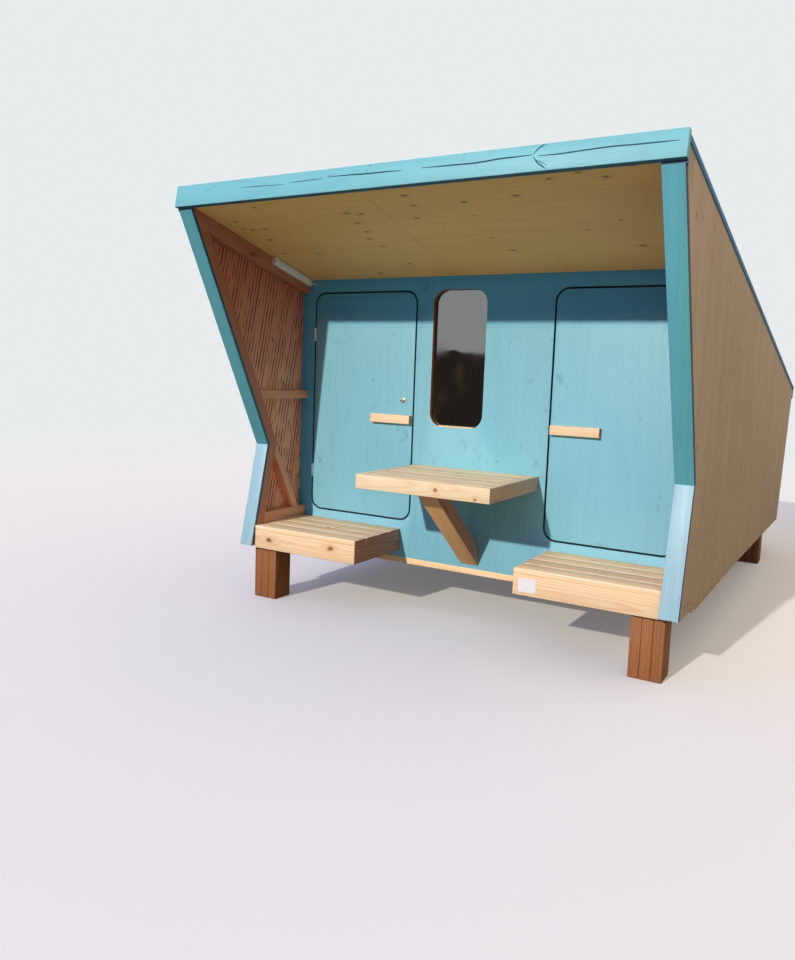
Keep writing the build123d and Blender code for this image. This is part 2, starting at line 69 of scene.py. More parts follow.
def setInputs(node, inputs):
    # inputs by name, or a list of them in order. Each takes a value, an output, or a node, which then gives its
    # first output in use
    for socket, source in inputs.items() if isinstance(inputs, dict) else enumerate(inputs):
        if isinstance(source, bpy.types.Node):
            source = next(output for output in source.outputs if output.enabled)
        if isinstance(source, bpy.types.NodeSocket):
            node.id_data.links.new(source, node.inputs[socket])
        else:
            node.inputs[socket].default_value = source


# the one choice that most nodes of a kind are given
mainChoice = {"Math": "operation", "VectorMath": "operation", "MapRange": "interpolation_type", "Mix": "data_type",
              "TexVoronoi": "voronoi_dimensions", "Attribute": "attribute_name"}


def addNode(tree, kind, inputs=(), choice=None, **settings):
    made = tree.nodes.new("ShaderNode" + kind)
    if choice:
        settings[mainChoice[kind]] = choice
    for name, value in settings.items():
        setattr(made, name, value)
    setInputs(made, inputs)
    return made


def newFinish(name):
    # a material, its shader, and the function that adds nodes to it
    finish = bpy.data.materials.new(name)
    finish.use_nodes = True
    return finish, finish.node_tree.nodes["Principled BSDF"], partial(addNode, finish.node_tree)


def layColours(add, look, first, layers):
    # the look's first colour, and over it each layer's own colour by the layer's share
    tone = linear(look[first])
    for share, name in layers:
        tone = add("Mix", {0: share, 6: tone, 7: linear(look[name])}, "RGBA")
    return tone


def setMode(mode):
    bpy.ops.object.mode_set(mode=mode)


def clearPicks():
    if bpy.context.mode != "OBJECT":
        setMode("OBJECT")
    bpy.ops.object.select_all(action="DESELECT")


def pick(piece):
    clearPicks()
    piece.select_set(True)
    bpy.context.view_layer.objects.active = piece


clearPicks()
bpy.ops.object.camera_add(location=view["place"], rotation=[radians(a) for a in view["turn"]])
camera = bpy.context.object
camera.name = "photoView"
camera.data.lens = view["lens"]
camera.data.sensor_width = view["sensor"]
camera.data.shift_y = view["shiftY"]
bpy.context.scene.camera = camera
bpy.context.scene.view_settings.view_transform = "Standard"

clearPicks()
bpy.ops.object.light_add(type="SUN", location=daylight["place"])
lowSun = bpy.context.object
lowSun.name = "lowSun"
lowSun.rotation_euler = Vector(daylight["travel"]).to_track_quat("-Z", "Y").to_euler()
lowSun.data.energy = daylight["strength"]
lowSun.data.angle = radians(daylight["softness"])
lowSun.data.color = linear(daylight["colour"])[:3]

studioWorld = bpy.data.worlds.new("paleStudio")
bpy.context.scene.world = studioWorld
studioWorld.use_nodes = True
studioWorld.node_tree.nodes.clear()
add = partial(addNode, studioWorld.node_tree)
rays = add("LightPath").outputs
heading = add("TexCoord").outputs["Generated"]
height = add("SeparateXYZ", [heading]).outputs["Z"]
seen = add("Math", [rays["Is Camera Ray"], rays["Is Transmission Ray"]], "MAXIMUM")
shown = add("Math", [seen, rays["Is Glossy Ray"]], "MAXIMUM")
hedgeTop = add("TexNoise", {"Vector": heading, **farGround["hedge"]})
hedgeLine = add("Math", [hedgeTop, farGround["ragged"], height], "MULTIPLY_ADD")
horizon = add("MapRange", [hedgeLine, *farGround["hedgeTop"]])
under = add("Math", [1.0, horizon], "SUBTRACT")
mirrored = add("Math", [under, rays["Is Glossy Ray"]], "MULTIPLY")
clumps = add("TexNoise", {"Vector": heading, **farGround["clumps"]})
bareShare = add("MapRange", [clumps, *farGround["bareFrom"]], "SMOOTHSTEP")
farTone = layColours(add, farGround, "scrub", [(bareShare, "bare")])
backdropTone = add("Mix", {0: mirrored, 6: linear(sky["backdrop"]), 7: farTone}, "RGBA")
overhead = add("MapRange", [height, 0, 1, *sky["fill"]])
sideways = add("VectorMath", [heading, sky["sideWay"]], "DOT_PRODUCT")
outwards = add("Math", [sideways], "ABSOLUTE")
lean = add("Math", [outwards, sky["sideShare"], 1.0], "MULTIPLY_ADD")
fillShare = add("Math", [overhead, lean], "MULTIPLY")
warmth = add("MapRange", [sideways, *sky["turnsWarm"]])
fill = add("Background", [layColours(add, sky, "front", [(warmth, "side")]), fillShare])
backdrop = add("Background", [backdropTone, 1.0])
add("OutputWorld", [add("MixShader", {0: shown, 1: fill, 2: backdrop})])

# floor: sends back less light than it shows, and fades to the backdrop
clearPicks()
bpy.ops.mesh.primitive_circle_add(vertices=128, radius=ground["radius"], fill_type="NGON",
                                  location=(0, 0, ground["under"]))
studioFloor = bpy.context.object
studioFloor.name = "studioFloor"
floorFinish, shader, add = newFinish("paleScreed")
cameraRay = add("LightPath").outputs["Is Camera Ray"]
reach = add("VectorMath", [add("TexCoord").outputs["Object"]], "LENGTH")
fade = add("MapRange", [reach, *ground["fade"]], "SMOOTHSTEP")
setInputs(shader, {
    "Base Color": layColours(add, ground, "bounce", [(cameraRay, "colour")]), "Roughness": ground["rough"],
    "Emission Color": linear("FFFFFF"),
    "Emission Strength": add("Math", [cameraRay, ground["paler"]], "MULTIPLY")})
fadeSeen = add("Math", [fade, cameraRay], "MULTIPLY")
glow = add("Emission", [linear(sky["backdrop"]), 1.0])
faded = add("MixShader", [fadeSeen, shader, glow])
setInputs(floorFinish.node_tree.nodes["Material Output"], {"Surface": faded})
studioFloor.data.materials.append(floorFinish)
print("camera, light and floor ready")

# Every timber piece carries two attributes: "grain", metres along and across its own board, and "boardTone".
# What the figure of every board shares: metres, or shares of a knot's cell or of a knot
figure = {
    "ringPeriod": 0.31416,  # metres between rings at a scale of 1
    "ringTones": [(0.0, 0.15), (0.45, 0.1), (0.86, 1.0), (1.0, 0.2)],  # early to late wood, then back at once
    "cloud": (1.3, 8.0, 8.0), "fibreLength": 28, "noiseRange": (0.3, 0.7),
    "knotCrook": (0.13, 0.1, 0), "knotSizes": (0.45, 1.5), "knotEdge": (0.3, 1.15), "haloEdge": (0.0, 3.6),
    "noKnot": 9.0, "swirl": (0, 0.012, 0.012), "knotSway": 0.012, "haloShare": 0.6, "fibreRelief": 0.55,
    "reliefDepth": 0.0012, "glossSpread": (-0.08, 0.1), "streakRange": (0.35, 0.7)}


def grainFields(add, look):
    # rings, fibres, slow tone and knots of one board, from its own coordinates
    grain = add("Attribute", [], "grain").outputs["Vector"]
    tone = add("Attribute", [], "boardTone").outputs["Fac"]
    parts = add("SeparateXYZ", [grain]).outputs
    girth = add("Math", [parts["Y"], parts["Z"]], "ADD")
    flat = add("CombineXYZ", [parts["X"], girth])
    # a knot's cell is twice as long as it is wide, and few cells have a knot
    cell = look["knotCell"] / 1000
    knotPlace = add("VectorMath", [flat, (0.5 / cell, 1 / cell, 0)], "MULTIPLY")
    knotWarp = add("TexNoise", {"Vector": knotPlace, "Scale": 7.0, "Detail": 2.0})
    knotBent = add("VectorMath", [knotWarp.outputs["Color"], figure["knotCrook"], knotPlace], "MULTIPLY_ADD")
    knotCells = add("TexVoronoi", {"Vector": knotBent, "Scale": 1.0}, "2D")
    knotDice = add("SeparateXYZ", [knotCells.outputs["Color"]]).outputs
    knotGone = add("Math", [knotDice["X"], look["knotShare"]], "GREATER_THAN")
    size = look["knotMm"] / 1000 / cell
    knotSize = add("MapRange", [knotDice["Y"], 0, 1, *[size * share for share in figure["knotSizes"]]])
    knotAway = add("Math", [knotCells, knotSize], "DIVIDE")
    nearest = add("Math", [knotGone, figure["noKnot"], knotAway], "MULTIPLY_ADD")
    if "knotsAt" in look:
        # knots at measured places in metres, each with its size in mm, drawn out by knotDraw
        place = add("TexCoord").outputs["Object"]
        crook = add("TexNoise", {"Vector": place, "Scale": 70.0, "Detail": 2.0}).outputs["Color"]
        crooked = add("VectorMath", [crook, [figure["knotSway"]] * 3, place], "MULTIPLY_ADD")
        drawn = look.get("knotDraw", (1, 1, 1))
        crooked = add("VectorMath", [crooked, drawn], "MULTIPLY")
        for *middle, mm in look["knotsAt"]:
            spot = [(a + figure["knotSway"] / 2) * b for a, b in zip(middle, drawn)]
            away = add("VectorMath", [crooked, spot], "DISTANCE")
            share = add("Math", [away, mm / 1000], "DIVIDE")
            nearest = add("Math", [nearest, share], "MINIMUM")
    knot, halo = [add("MapRange", [nearest, *figure[edge], 1, 0], "SMOOTHSTEP")
                  for edge in ("knotEdge", "haloEdge")]
    slow = add("VectorMath", [grain, figure["cloud"]], "MULTIPLY")
    cloud = add("TexNoise", {"Vector": slow, "Scale": 1.0, "Detail": 2.0})
    wander = look["wanderMm"] / 1000
    swayed = add("VectorMath", [cloud.outputs["Color"], (0, wander, wander), grain], "MULTIPLY_ADD")
    pull = add("VectorMath", {0: figure["swirl"], "Scale": halo}, "SCALE")
    around = add("VectorMath", [swayed, pull], "ADD")
    rings = add("TexWave", {"Vector": around, "Scale": figure["ringPeriod"] / (look["ringMm"] / 1000),
                            "Distortion": 0.6, "Detail": 1.0, "Detail Scale": 4.0},
                wave_type="RINGS", rings_direction="X", wave_profile="SAW")
    late = add("ValToRGB", [rings.outputs["Fac"]])
    while len(late.color_ramp.elements) < len(figure["ringTones"]):
        late.color_ramp.elements.new(0.5)
    for element, (place, grey) in zip(late.color_ramp.elements, figure["ringTones"]):
        element.position = place
        element.color = (grey, grey, grey, 1)
    thread = 1000 / look["fibreMm"]
    fine = add("VectorMath", [grain, (thread / figure["fibreLength"], thread, thread)], "MULTIPLY")
    fibre = add("TexNoise", {"Vector": fine, "Scale": 1.0, "Detail": 3.0, "Roughness": 0.6})
    return {"grain": grain, "tone": tone, "ring": late, "fibre": fibre, "cloud": cloud, "knot": knot, "halo": halo}


def timberFinish(name, look, toneOf):
    # a wood finish: its own function gives the tone, and raised late wood and fibres break up the gloss
    finish, shader, add = newFinish(name)
    fields = grainFields(add, look)
    relief = add("Mix", {0: figure["fibreRelief"], 2: fields["ring"], 3: fields["fibre"]}, "FLOAT")
    sunk = add("Math", [relief, fields["knot"]], "SUBTRACT")
    bump = add("Bump", {"Height": sunk, "Strength": look["relief"], "Distance": figure["reliefDepth"]})
    gloss = add("MapRange", [fields["fibre"], *figure["noiseRange"],
                             *[look["rough"] + spread for spread in figure["glossSpread"]]])
    setInputs(shader, {"Base Color": toneOf(add, look, fields), "Normal": bump, "Roughness": gloss})
    return finish


def bareTimber(add, look, fields):
    # planed or sawn softwood, uncoated or oiled: pale early wood, darker late wood, brown knots
    shade = add("Math", [fields["ring"], look["ringShare"]], "MULTIPLY")
    streak = add("MapRange", [fields["fibre"], *figure["noiseRange"], look["fibreShare"], 0])
    halo = add("Math", [fields["halo"], figure["haloShare"]], "MULTIPLY")
    wood = layColours(add, look, "early", [(shade, "late"), (streak, "late"), (halo, "late"), (fields["knot"], "knot")])
    spread = look["toneShare"]
    slowTone = add("MapRange", [fields["cloud"], *figure["noiseRange"], 1 - spread / 2, 1 + spread / 2])
    boardTone = add("MapRange", [fields["tone"], 0, 1, 1 - spread, 1 + spread])
    bothTones = add("Math", [slowTone, boardTone], "MULTIPLY")
    return add("HueSaturation", {"Value": bothTones, "Color": wood})


def stainedTimber(add, look, fields):
    # opaque water-based stain, brushed on: even colour, the grain still shows through it and knots bleed faintly
    shade = add("Math", [fields["ring"], look["ringShare"]], "MULTIPLY")
    streak = add("MapRange", [fields["fibre"], *look["streakRange"], 0, look["fibreShare"]])
    layers = [(shade, "thin"), (streak, "streak")]
    # painted shade: the coat turns deeper blue where the roof's and the left wing's shadows fall (Object Z and X)
    if "sheltered" in look:
        spot = add("SeparateXYZ", [add("TexCoord").outputs["Object"]]).outputs
        faded = [add("MapRange", [spot[way], *look[way]], "SMOOTHSTEP") for way in ("Z", "X")]
        layers.append((add("Math", [faded[0], faded[1]], "MAXIMUM"), "sheltered"))
    bleed = add("Math", [fields["knot"], look["bleed"]], "MULTIPLY")
    if "smudgeShare" in look:
        smeared = add("VectorMath", [fields["grain"], look["smudgeStretch"]], "MULTIPLY")
        smudge = add("TexNoise", {"Vector": smeared, "Scale": 1.0, "Detail": 7.0, "Roughness": 0.72})
        patch = add("MapRange", [smudge, *look["smudgeRange"], 0, look["smudgeShare"]], "SMOOTHSTEP")
        bleed = add("Math", [bleed, patch], "MAXIMUM")
    coat = layColours(add, look, "coat", layers + [(bleed, "knot")])
    spread = look["toneShare"]
    slowTone = add("MapRange", [fields["cloud"], *figure["noiseRange"], 1 - spread, 1 + spread])
    return add("HueSaturation", {"Value": slowTone, "Color": coat})


def brushedPanel(name, look):
    # wire-brushed larch plywood: upright hard dark lines stand between soft worn bands
    finish, shader, add = newFinish(name)
    fields = grainFields(add, look)
    grain, fibre = fields["grain"], fields["fibre"]
    slow = add("VectorMath", [grain, look["swayStretch"]], "MULTIPLY")
    sway = add("TexNoise", {"Vector": slow, "Scale": 1.0, "Detail": 2.0}).outputs["Color"]
    swayed = add("VectorMath", [sway, look["sway"], grain], "MULTIPLY_ADD")
    lines, bands = [add("TexWave", {"Vector": swayed, "Scale": figure["ringPeriod"] / (look[gap] / 1000)},
                        bands_direction="Y").outputs["Fac"] for gap in ("lineMm", "bandMm")]
    between = add("MapRange", [bands, *look["between"]])
    short = add("VectorMath", [grain, look["dashStretch"]], "MULTIPLY")
    dash = add("TexNoise", {"Vector": short, "Scale": 1.0, "Detail": 2.0})
    width = add("MapRange", [dash, *look["lineWidth"]])
    narrowed = add("Math", [width, between], "ADD")
    over = add("Math", [lines, narrowed], "SUBTRACT")
    hard = add("MapRange", [over, *look["lineEdge"]], "SMOOTHSTEP")
    # painted shade: the tone turns darker and redder towards the top, under the roof
    level = add("SeparateXYZ", [add("TexCoord").outputs["Object"]]).outputs["Z"]
    shadeShare = add("MapRange", [level, *look["Z"]])
    streak = add("MapRange", [fibre, *figure["streakRange"], 0, look["fibreShare"]])
    tone = layColours(add, look, "early", [(fields["cloud"], "late"), (shadeShare, "sheltered"), (fields["knot"], "knot"),
                                           (hard, "line"), (streak, "line")])
    relief = add("Math", [fibre, hard], "SUBTRACT")
    bump = add("Bump", {"Height": relief, "Strength": look["relief"], "Distance": look["reliefDepth"]})
    setInputs(shader, {"Base Color": tone, "Normal": bump, "Roughness": look["rough"]})
    return finish


def weatheredBoard(add, look, fields):
    # three-layer spruce board with clear oil, greyed outdoors: short dark upright checks and narrow spindle knots
    checkPlace = add("VectorMath", [fields["grain"], look["checkStretch"]], "MULTIPLY")
    checkWarp = add("TexNoise", {"Vector": checkPlace, "Scale": 4.0, "Detail": 3.0}).outputs["Color"]
    checkBent = add("VectorMath", [checkWarp, look["checkCrook"], checkPlace], "MULTIPLY_ADD")
    checks = add("TexVoronoi", {"Vector": checkBent, "Scale": 1.0}, "2D")
    checkDice = add("SeparateXYZ", [checks.outputs["Color"]]).outputs
    gatherPlace = add("VectorMath", [fields["grain"], look["gatherStretch"]], "MULTIPLY")
    gather = add("TexNoise", {"Vector": gatherPlace, "Scale": 1.0, "Detail": 1.0})
    crowd = add("MapRange", [gather, *look["crowd"]])
    checkHere = add("Math", [checkDice["X"], crowd], "LESS_THAN")
    checkSize = add("MapRange", [checkDice["Y"], 0, 1, *look["checkSizes"]])
    checkEdge = add("Math", [checks, checkSize], "DIVIDE")
    checkCore = add("MapRange", [checkEdge, 0, look["checkFade"], look["checkShare"], 0], "SMOOTHSTEP")
    check = add("Math", [checkCore, checkHere], "MULTIPLY")
    streak = add("MapRange", [fields["fibre"], *figure["streakRange"], 0, look["fibreShare"]])
    return layColours(add, look, "early", [(fields["cloud"], "late"), (streak, "late"), (check, "check"),
                                           (fields["knot"], "knot")])


ceiling = {"slope": 14.3, "atWall": 1.910}


def onCeiling(x, y, mm):
    # a knot's place on the porch ceiling, which rises to the front
    return (x, y, ceiling["atWall"] + (wallFace - y) * tan(radians(ceiling["slope"])), mm)


# Looks: colours from early and late wood, ring and fibre widths and knot sizes in mm. Each says what differs
# from the usual planed board. Real fibres are too fine to show, so they are drawn as streaks 4 to 6 mm wide.
planedBoard = {"ringMm": 9, "ringShare": 0.5, "wanderMm": 22, "fibreMm": 5, "fibreShare": 0.4, "knotCell": 260,
               "knotShare": 0.2, "knotMm": 12, "toneShare": 0.05, "rough": 0.6, "relief": 0.35}
timberLooks = {
    # planed larch, oiled, for the benches: warm orange wood in the sun, planks of uneven tone
    "larchBench": {"early": "FFE2B4", "late": "E6AE79", "knot": "8A5A34", "ringMm": 10, "ringShare": 0.55,
                   "fibreShare": 0.26, "knotCell": 190, "knotShare": 0.22, "toneShare": 0.11},
    # the same larch, paler boards for the table: two large knots swirl the grain of its front
    "larchTable": {"early": "FFE9BE", "late": "F0C28C", "knot": "B07A4A", "fibreShare": 0.22, "knotShare": 0.12,
                   "knotMm": 9, "toneShare": 0.1, "knotsAt": [(0.092, -1.959, 0.793, 14), (0.31, -1.959, 0.768, 10)]},
    # painted highlight on the planks' upper eased edges: pale clean wood, standing for the sun they catch
    "larchWorn": {"early": "FFF2DC", "late": "F6DCB8", "knot": "B07A4A", "ringShare": 0.3, "fibreShare": 0.1,
                  "knotShare": 0.05, "knotMm": 6, "toneShare": 0.04, "rough": 0.5, "relief": 0.2},
    # painted shade on the sides of the same boards, cut across: duller and browner, as out of the sun, short dark
    # cracks
    "larchSide": {"early": "CC977C", "late": "9C6546", "knot": "502C18", "ringShare": 0.6, "fibreMm": 6,
                  "knotCell": 150, "knotShare": 0.3, "knotMm": 8, "toneShare": 0.08, "rough": 0.7, "relief": 0.4},
    # painted shade on the table's ends: the same wood, darker and browner, less than the benches' sides because the sun
    # reaches them
    "larchEnd": {"early": "E4BE9E", "late": "B4845C", "knot": "5A3218", "fibreMm": 6, "fibreShare": 0.3,
                 "knotCell": 200, "knotMm": 8, "rough": 0.65},
    # larch posts: the benches' larch with a painted shadow over it, reddish brown; the planks' seams dark
    "larchPosts": {"early": "A56B3C", "late": "784625", "knot": "402415", "ringMm": 10, "ringShare": 0.6,
                   "wanderMm": 20, "knotMm": 14, "toneShare": 0.12, "rough": 0.65, "relief": 0.4},
    # larch strut: amber, a plain straight board
    "larchStrut": {"early": "FFCC90", "late": "DC9F64", "knot": "7A4A28", "fibreShare": 0.3, "knotCell": 240},
    # larch of the porch frame: reddish brown under the roof, with a large drawn-out knot in the left top rail
    "larchPorch": {"early": "CC8264", "late": "A05A40", "knot": "87503A", "wanderMm": 20, "knotShare": 0.25,
                   "knotMm": 15, "toneShare": 0.08, "rough": 0.62, "knotDraw": (1, 0.4, 1),
                   "knotsAt": [(-1.175, -1.87, 1.995, 15)]},
    # its lower rails and braces: paler and browner than the frame above
    "larchRail": {"early": "F0AC84", "late": "C07850", "knot": "6E3E24", "wanderMm": 20, "toneShare": 0.06,
                  "rough": 0.62},
    # planed pine of the door pulls: the palest wood, fine rings
    "pinePull": {"early": "FBE0BA", "late": "E8BC88", "knot": "A8703C", "ringMm": 7, "ringShare": 0.45,
                 "wanderMm": 10, "fibreMm": 4, "fibreShare": 0.25, "knotShare": 0.15, "knotMm": 9, "rough": 0.5,
                 "relief": 0.25},
    # sawn spruce of the hidden frame: straw-coloured and rough, saw fibres standing up
    "sawnSpruce": {"early": "DDBB86", "late": "B48A56", "knot": "7A4C28", "ringMm": 8, "ringShare": 0.45,
                   "wanderMm": 18, "knotCell": 300, "knotShare": 0.3, "knotMm": 15, "toneShare": 0.07, "rough": 0.78,
                   "relief": 0.6},
    # three-layer spruce board of the ceiling: honey yellow, wide soft figure, small dark knots
    "spruceCeiling": {"early": "FCD282", "late": "E6B46C", "knot": "946632", "ringMm": 26, "ringShare": 0.22,
                      "wanderMm": 60, "fibreMm": 6, "fibreShare": 0.22, "knotCell": 110, "knotShare": 0.3,
                      "knotMm": 7, "relief": 0.2, "knotDraw": (0.5, 1, 1),
                      "knotsAt": [onCeiling(*knot) for knot in (
                          (0.531, -2.171, 10), (0.719, -2.284, 8), (0.85, -2.311, 8), (1.066, -2.326, 7),
                          (-0.29, -2.119, 9), (-0.024, -2.037, 8), (-0.948, -2.042, 8), (-1.033, -2.038, 8))]},
    # birch plywood of the floor: even light brown, sanded
    "floorBirch": {"early": "CDA873", "late": "B28B57", "knot": "7F5A30", "ringMm": 22, "ringShare": 0.3,
                   "wanderMm": 60, "fibreShare": 0.3, "knotCell": 400, "knotMm": 10, "toneShare": 0.04,
                   "relief": 0.2},
}
finishes = {name: timberFinish(name, {**planedBoard, **look}, bareTimber) for name, look in timberLooks.items()}

brushedCoat = {"ringMm": 12, "ringShare": 0.4, "wanderMm": 18, "fibreMm": 5, "fibreShare": 0.25, "knotCell": 320,
               "knotShare": 0.15, "knotMm": 10, "bleed": 0.3, "toneShare": 0.03, "streakRange": (0.35, 0.75),
               "rough": 0.5, "relief": 0.25}
hardEdge = {"ringMm": 14, "wanderMm": 20, "fibreShare": 0.3, "knotCell": 300, "knotShare": 0.1, "knotMm": 8,
            "bleed": 0.2}
stainLooks = {
    # teal stain on the fascia: bright and even, the brush marks run along it
    "tealFascia": {"coat": "77C2C9", "thin": "6BB5C0", "streak": "8ECDD4", "knot": "4A929A", "ringShare": 0.5,
                   "knotCell": 300, "knotShare": 0.2, "knotMm": 14, "bleed": 0.45, "relief": 0.3},
    # the same stain on the upper caps: deeper teal
    "tealUpperCap": {"coat": "58A5AF", "thin": "509AA4", "streak": "66B1BA", "knot": "3C7E88"},
    # the right upper cap: the same teal, lighter
    "tealSunnedCap": {"coat": "66BAC6", "thin": "5CAEBB", "streak": "76C6D0", "knot": "4A929C"},
    # lower caps, where rain has washed the stain thin: pale blue with white streaks of bare fibre, paler still by a
    # painted sheen of the glare they catch
    "paleLowerCap": {"coat": "98C4D2", "thin": "82B4C4", "streak": "BFD6DE", "knot": "74A6B4", "ringMm": 16,
                     "ringShare": 0.6, "wanderMm": 45, "fibreMm": 6, "fibreShare": 0.55, "knotShare": 0.1,
                     "toneShare": 0.05, "rough": 0.45, "relief": 0.35},
    # blue stain rolled on the wall boards: matt and even, faint darker clouds where knots drink it in, and painted
    # shade: a deeper blue under the roof (Z) and beside the left wing (X), where their shadows fall
    "blueWall": {"coat": "83C5D5", "thin": "7BBDCE", "streak": "8DCCDB", "knot": "457D90", "sheltered": "57B0D5",
                 "Z": (1.6, 1.72), "X": (-1.1, -1.14), "ringMm": 30, "ringShare": 0.35, "wanderMm": 70,
                 "fibreMm": 6, "fibreShare": 0.22, "knotCell": 130, "knotShare": 0.08, "knotMm": 7, "bleed": 0.4,
                 "smudgeShare": 0.5, "smudgeRange": (0.58, 0.74), "smudgeStretch": (8.0, 9.0, 9.0),
                 "toneShare": 0.02, "rough": 0.55, "relief": 0.2,
                 "knotsAt": [(x, wallFace, z, mm) for x, z, mm in (
                     (-0.904, 1.583, 7), (-0.558, 1.578, 9), (-0.826, 1.394, 6), (-0.692, 1.311, 11),
                     (-0.571, 1.273, 8), (-1.037, 1.5, 6))]},
    # the cut edges of the wall, the gaps round the doors, the caps' sides, the fascia's underside and the cap packers:
    # thick dark navy, partly the stain on the cut edges and partly painted shade in gaps, sides and undersides
    "navyGroove": {**hardEdge, "coat": "33617A", "thin": "2C566D", "streak": "3B6B85", "knot": "1E3A48", "rough": 0.6,
                   "relief": 0.2},
    # roof edges: teal as the fascia, painted in shade as a stronger, darker blue, semi-matt
    "blueEdge": {**hardEdge, "coat": "4486B8", "thin": "3B79A8", "streak": "5595C4", "knot": "34647F", "rough": 0.55},
}
for name, look in stainLooks.items():
    finishes[name] = timberFinish(name, {**brushedCoat, **look}, stainedTimber)

# wire-brushed larch plywood: reddish brown, with painted shade darker and redder towards the top under the roof (Z),
# dark hard lines 26 mm apart in bands of four
finishes["brushedLarch"] = brushedPanel("brushedLarch", {
    "early": "FFC4A2", "late": "ECA27C", "sheltered": "DC8C70", "line": "864029", "knot": "5C2C1A", "Z": (1.3, 1.85),
    "lineMm": 26, "bandMm": 142, "swayStretch": (0.8, 2.5, 2.5), "sway": (0, 0.04, 0), "dashStretch": (13, 42, 42),
    "between": (0.1, 0.4, 0.26, 0.0), "lineWidth": (0.34, 0.66, 0.95, 0.5), "lineEdge": (-0.14, 0.2), "ringMm": 30,
    "wanderMm": 40, "fibreMm": 5, "fibreShare": 0.2, "knotCell": 300, "knotShare": 0.1, "knotMm": 8, "rough": 0.75,
    "relief": 0.8, "reliefDepth": 0.002,
    "knotsAt": [(-1.229, -1.518, 0.785, 10), (-1.229, -1.43, 0.713, 13), (-1.229, -1.51, 1.272, 12)]})
# three-layer spruce board, clear oil, a few summers outdoors: warm taupe with soft brown marks
finishes["oiledSpruceBoard"] = timberFinish("oiledSpruceBoard", {
    "early": "D2BEA2", "late": "BCA388", "check": "5E4834", "knot": "6E5842", "checkShare": 0.8,
    "checkStretch": (6.5, 20.0, 0), "checkCrook": (0.25, 0.3, 0), "checkSizes": (0.05, 0.17), "checkFade": 1.4,
    "crowd": (0.4, 0.65, 0.06, 0.42), "gatherStretch": (1.6, 4.0, 4.0), "ringMm": 30, "wanderMm": 60, "fibreMm": 5,
    "fibreShare": 0.3, "knotCell": 330, "knotShare": 0.1, "knotMm": 6, "rough": 0.82, "relief": 0.3}, weatheredBoard)
print("timber and stain finishes ready")


def speckledFinish(name, look):
    # one noise varies the tone, and where the look says so the gloss and the relief
    finish, shader, add = newFinish(name)
    place = add("TexCoord").outputs["Object"]
    if "stretch" in look:
        place = add("VectorMath", [place, look["stretch"]], "MULTIPLY")
    speckle = add("TexNoise", {"Vector": place, **look["noise"]})
    inputs = dict(look["surface"])
    if "second" in look:
        inputs["Base Color"] = layColours(add, look, "first", [(speckle, "second")])
    if "gloss" in look:
        inputs["Roughness"] = add("MapRange", [speckle, *look["gloss"]])
    if "relief" in look:
        grit = add("TexNoise", {"Vector": place, **look["grit"]}) if "grit" in look else speckle
        inputs["Normal"] = add("Bump", {"Height": grit, **look["relief"]})
    setInputs(shader, inputs)
    return finish


# scales are 1 / metre, and gloss is the range of roughness that the noise gives. Rubbing lines, moulding texture and
# the rubber's grit are too fine to show at their real size, so they are drawn 1 to 2 mm wide
smallLooks = {
    # satin stainless steel, rolled and cut: soft broad highlights with fine upright rubbing lines
    "satinSteel": {"first": "D2D5D8", "second": "F2F3F4", "stretch": (900, 900, 40),
                   "noise": {"Scale": 1.0, "Detail": 2.0}, "gloss": (0, 1, 0.34, 0.5), "surface": {"Metallic": 1.0}},
    # turned pale brass, polished by hands: bright glints, browner and rougher where it has tarnished
    "agedBrass": {"first": "FFF2DC", "second": "DDBE92", "noise": {"Scale": 180.0, "Detail": 4.0},
                  "gloss": (0, 1, 0.1, 0.3), "surface": {"Metallic": 1.0}},
    # zinc-plated screw steel: small bluish grey heads
    "zincScrew": {"first": "8E8A80", "second": "B8B5AC", "noise": {"Scale": 400.0, "Detail": 2.0},
                  "surface": {"Metallic": 1.0, "Roughness": 0.4}},
    # EPDM roofing membrane: matt charcoal rubber with a dusty bloom
    "roofRubber": {"first": "2E3032", "second": "5A5A57", "noise": {"Scale": 3.0, "Detail": 6.0, "Roughness": 0.65},
                   "grit": {"Scale": 500.0, "Detail": 1.0}, "relief": {"Strength": 0.25, "Distance": 0.0006},
                   "surface": {"Roughness": 0.82}},
    # opal polycarbonate of the lamp's cover: off-white, softly glossy, a little light goes into it
    "opalCover": {"first": "FAFCFA", "second": "ECEFEA", "noise": {"Scale": 60.0, "Detail": 3.0},
                  "surface": {"Roughness": 0.32, "Subsurface Weight": 0.2, "Subsurface Scale": 1.0,
                              "Subsurface Radius": (0.006, 0.006, 0.005)}},
    # moulded ABS of the lamp's base and end caps: flat off-white with a fine moulding texture
    "lampShell": {"first": "F2EEE2", "second": "E2DDCE", "noise": {"Scale": 900.0, "Detail": 1.0},
                  "relief": {"Strength": 0.15, "Distance": 0.0003}, "surface": {"Roughness": 0.5}},
    # printed-sheet vinyl with nothing on it: bright white, slightly glossy, faintly uneven
    "whiteVinyl": {"first": "F4F3F1", "second": "E8E7E6", "noise": {"Scale": 35.0, "Detail": 2.0},
                   "relief": {"Strength": 0.1, "Distance": 0.001}, "surface": {"Roughness": 0.35}},
    # coated float glass: clear, dark behind, with a strong grey mirror image of what stands in front
    "coatedGlass": {"noise": {"Scale": 6.0, "Detail": 4.0}, "gloss": (0.4, 0.8, 0.01, 0.07),
                    "surface": {"Base Color": linear("8C9294"), "Transmission Weight": 1.0, "IOR": 2.75}},
    # drying check: the bare shadowed inside of a split under the stain
    "checkShadow": {"first": "173E4A", "second": "2C6270", "noise": {"Scale": 300.0, "Detail": 2.0},
                    "surface": {"Roughness": 0.9}},
}
for name, look in smallLooks.items():
    finishes[name] = speckledFinish(name, look)
print("metal, glass, rubber and plastic finishes ready")

# timber pieces: each a copy of its node's boards with the sharp edges planed off
planing = {"weld": 0.00005, "flat": 1.0, "sharpFrom": 32, "smoothTo": 35, "square": 0.2}


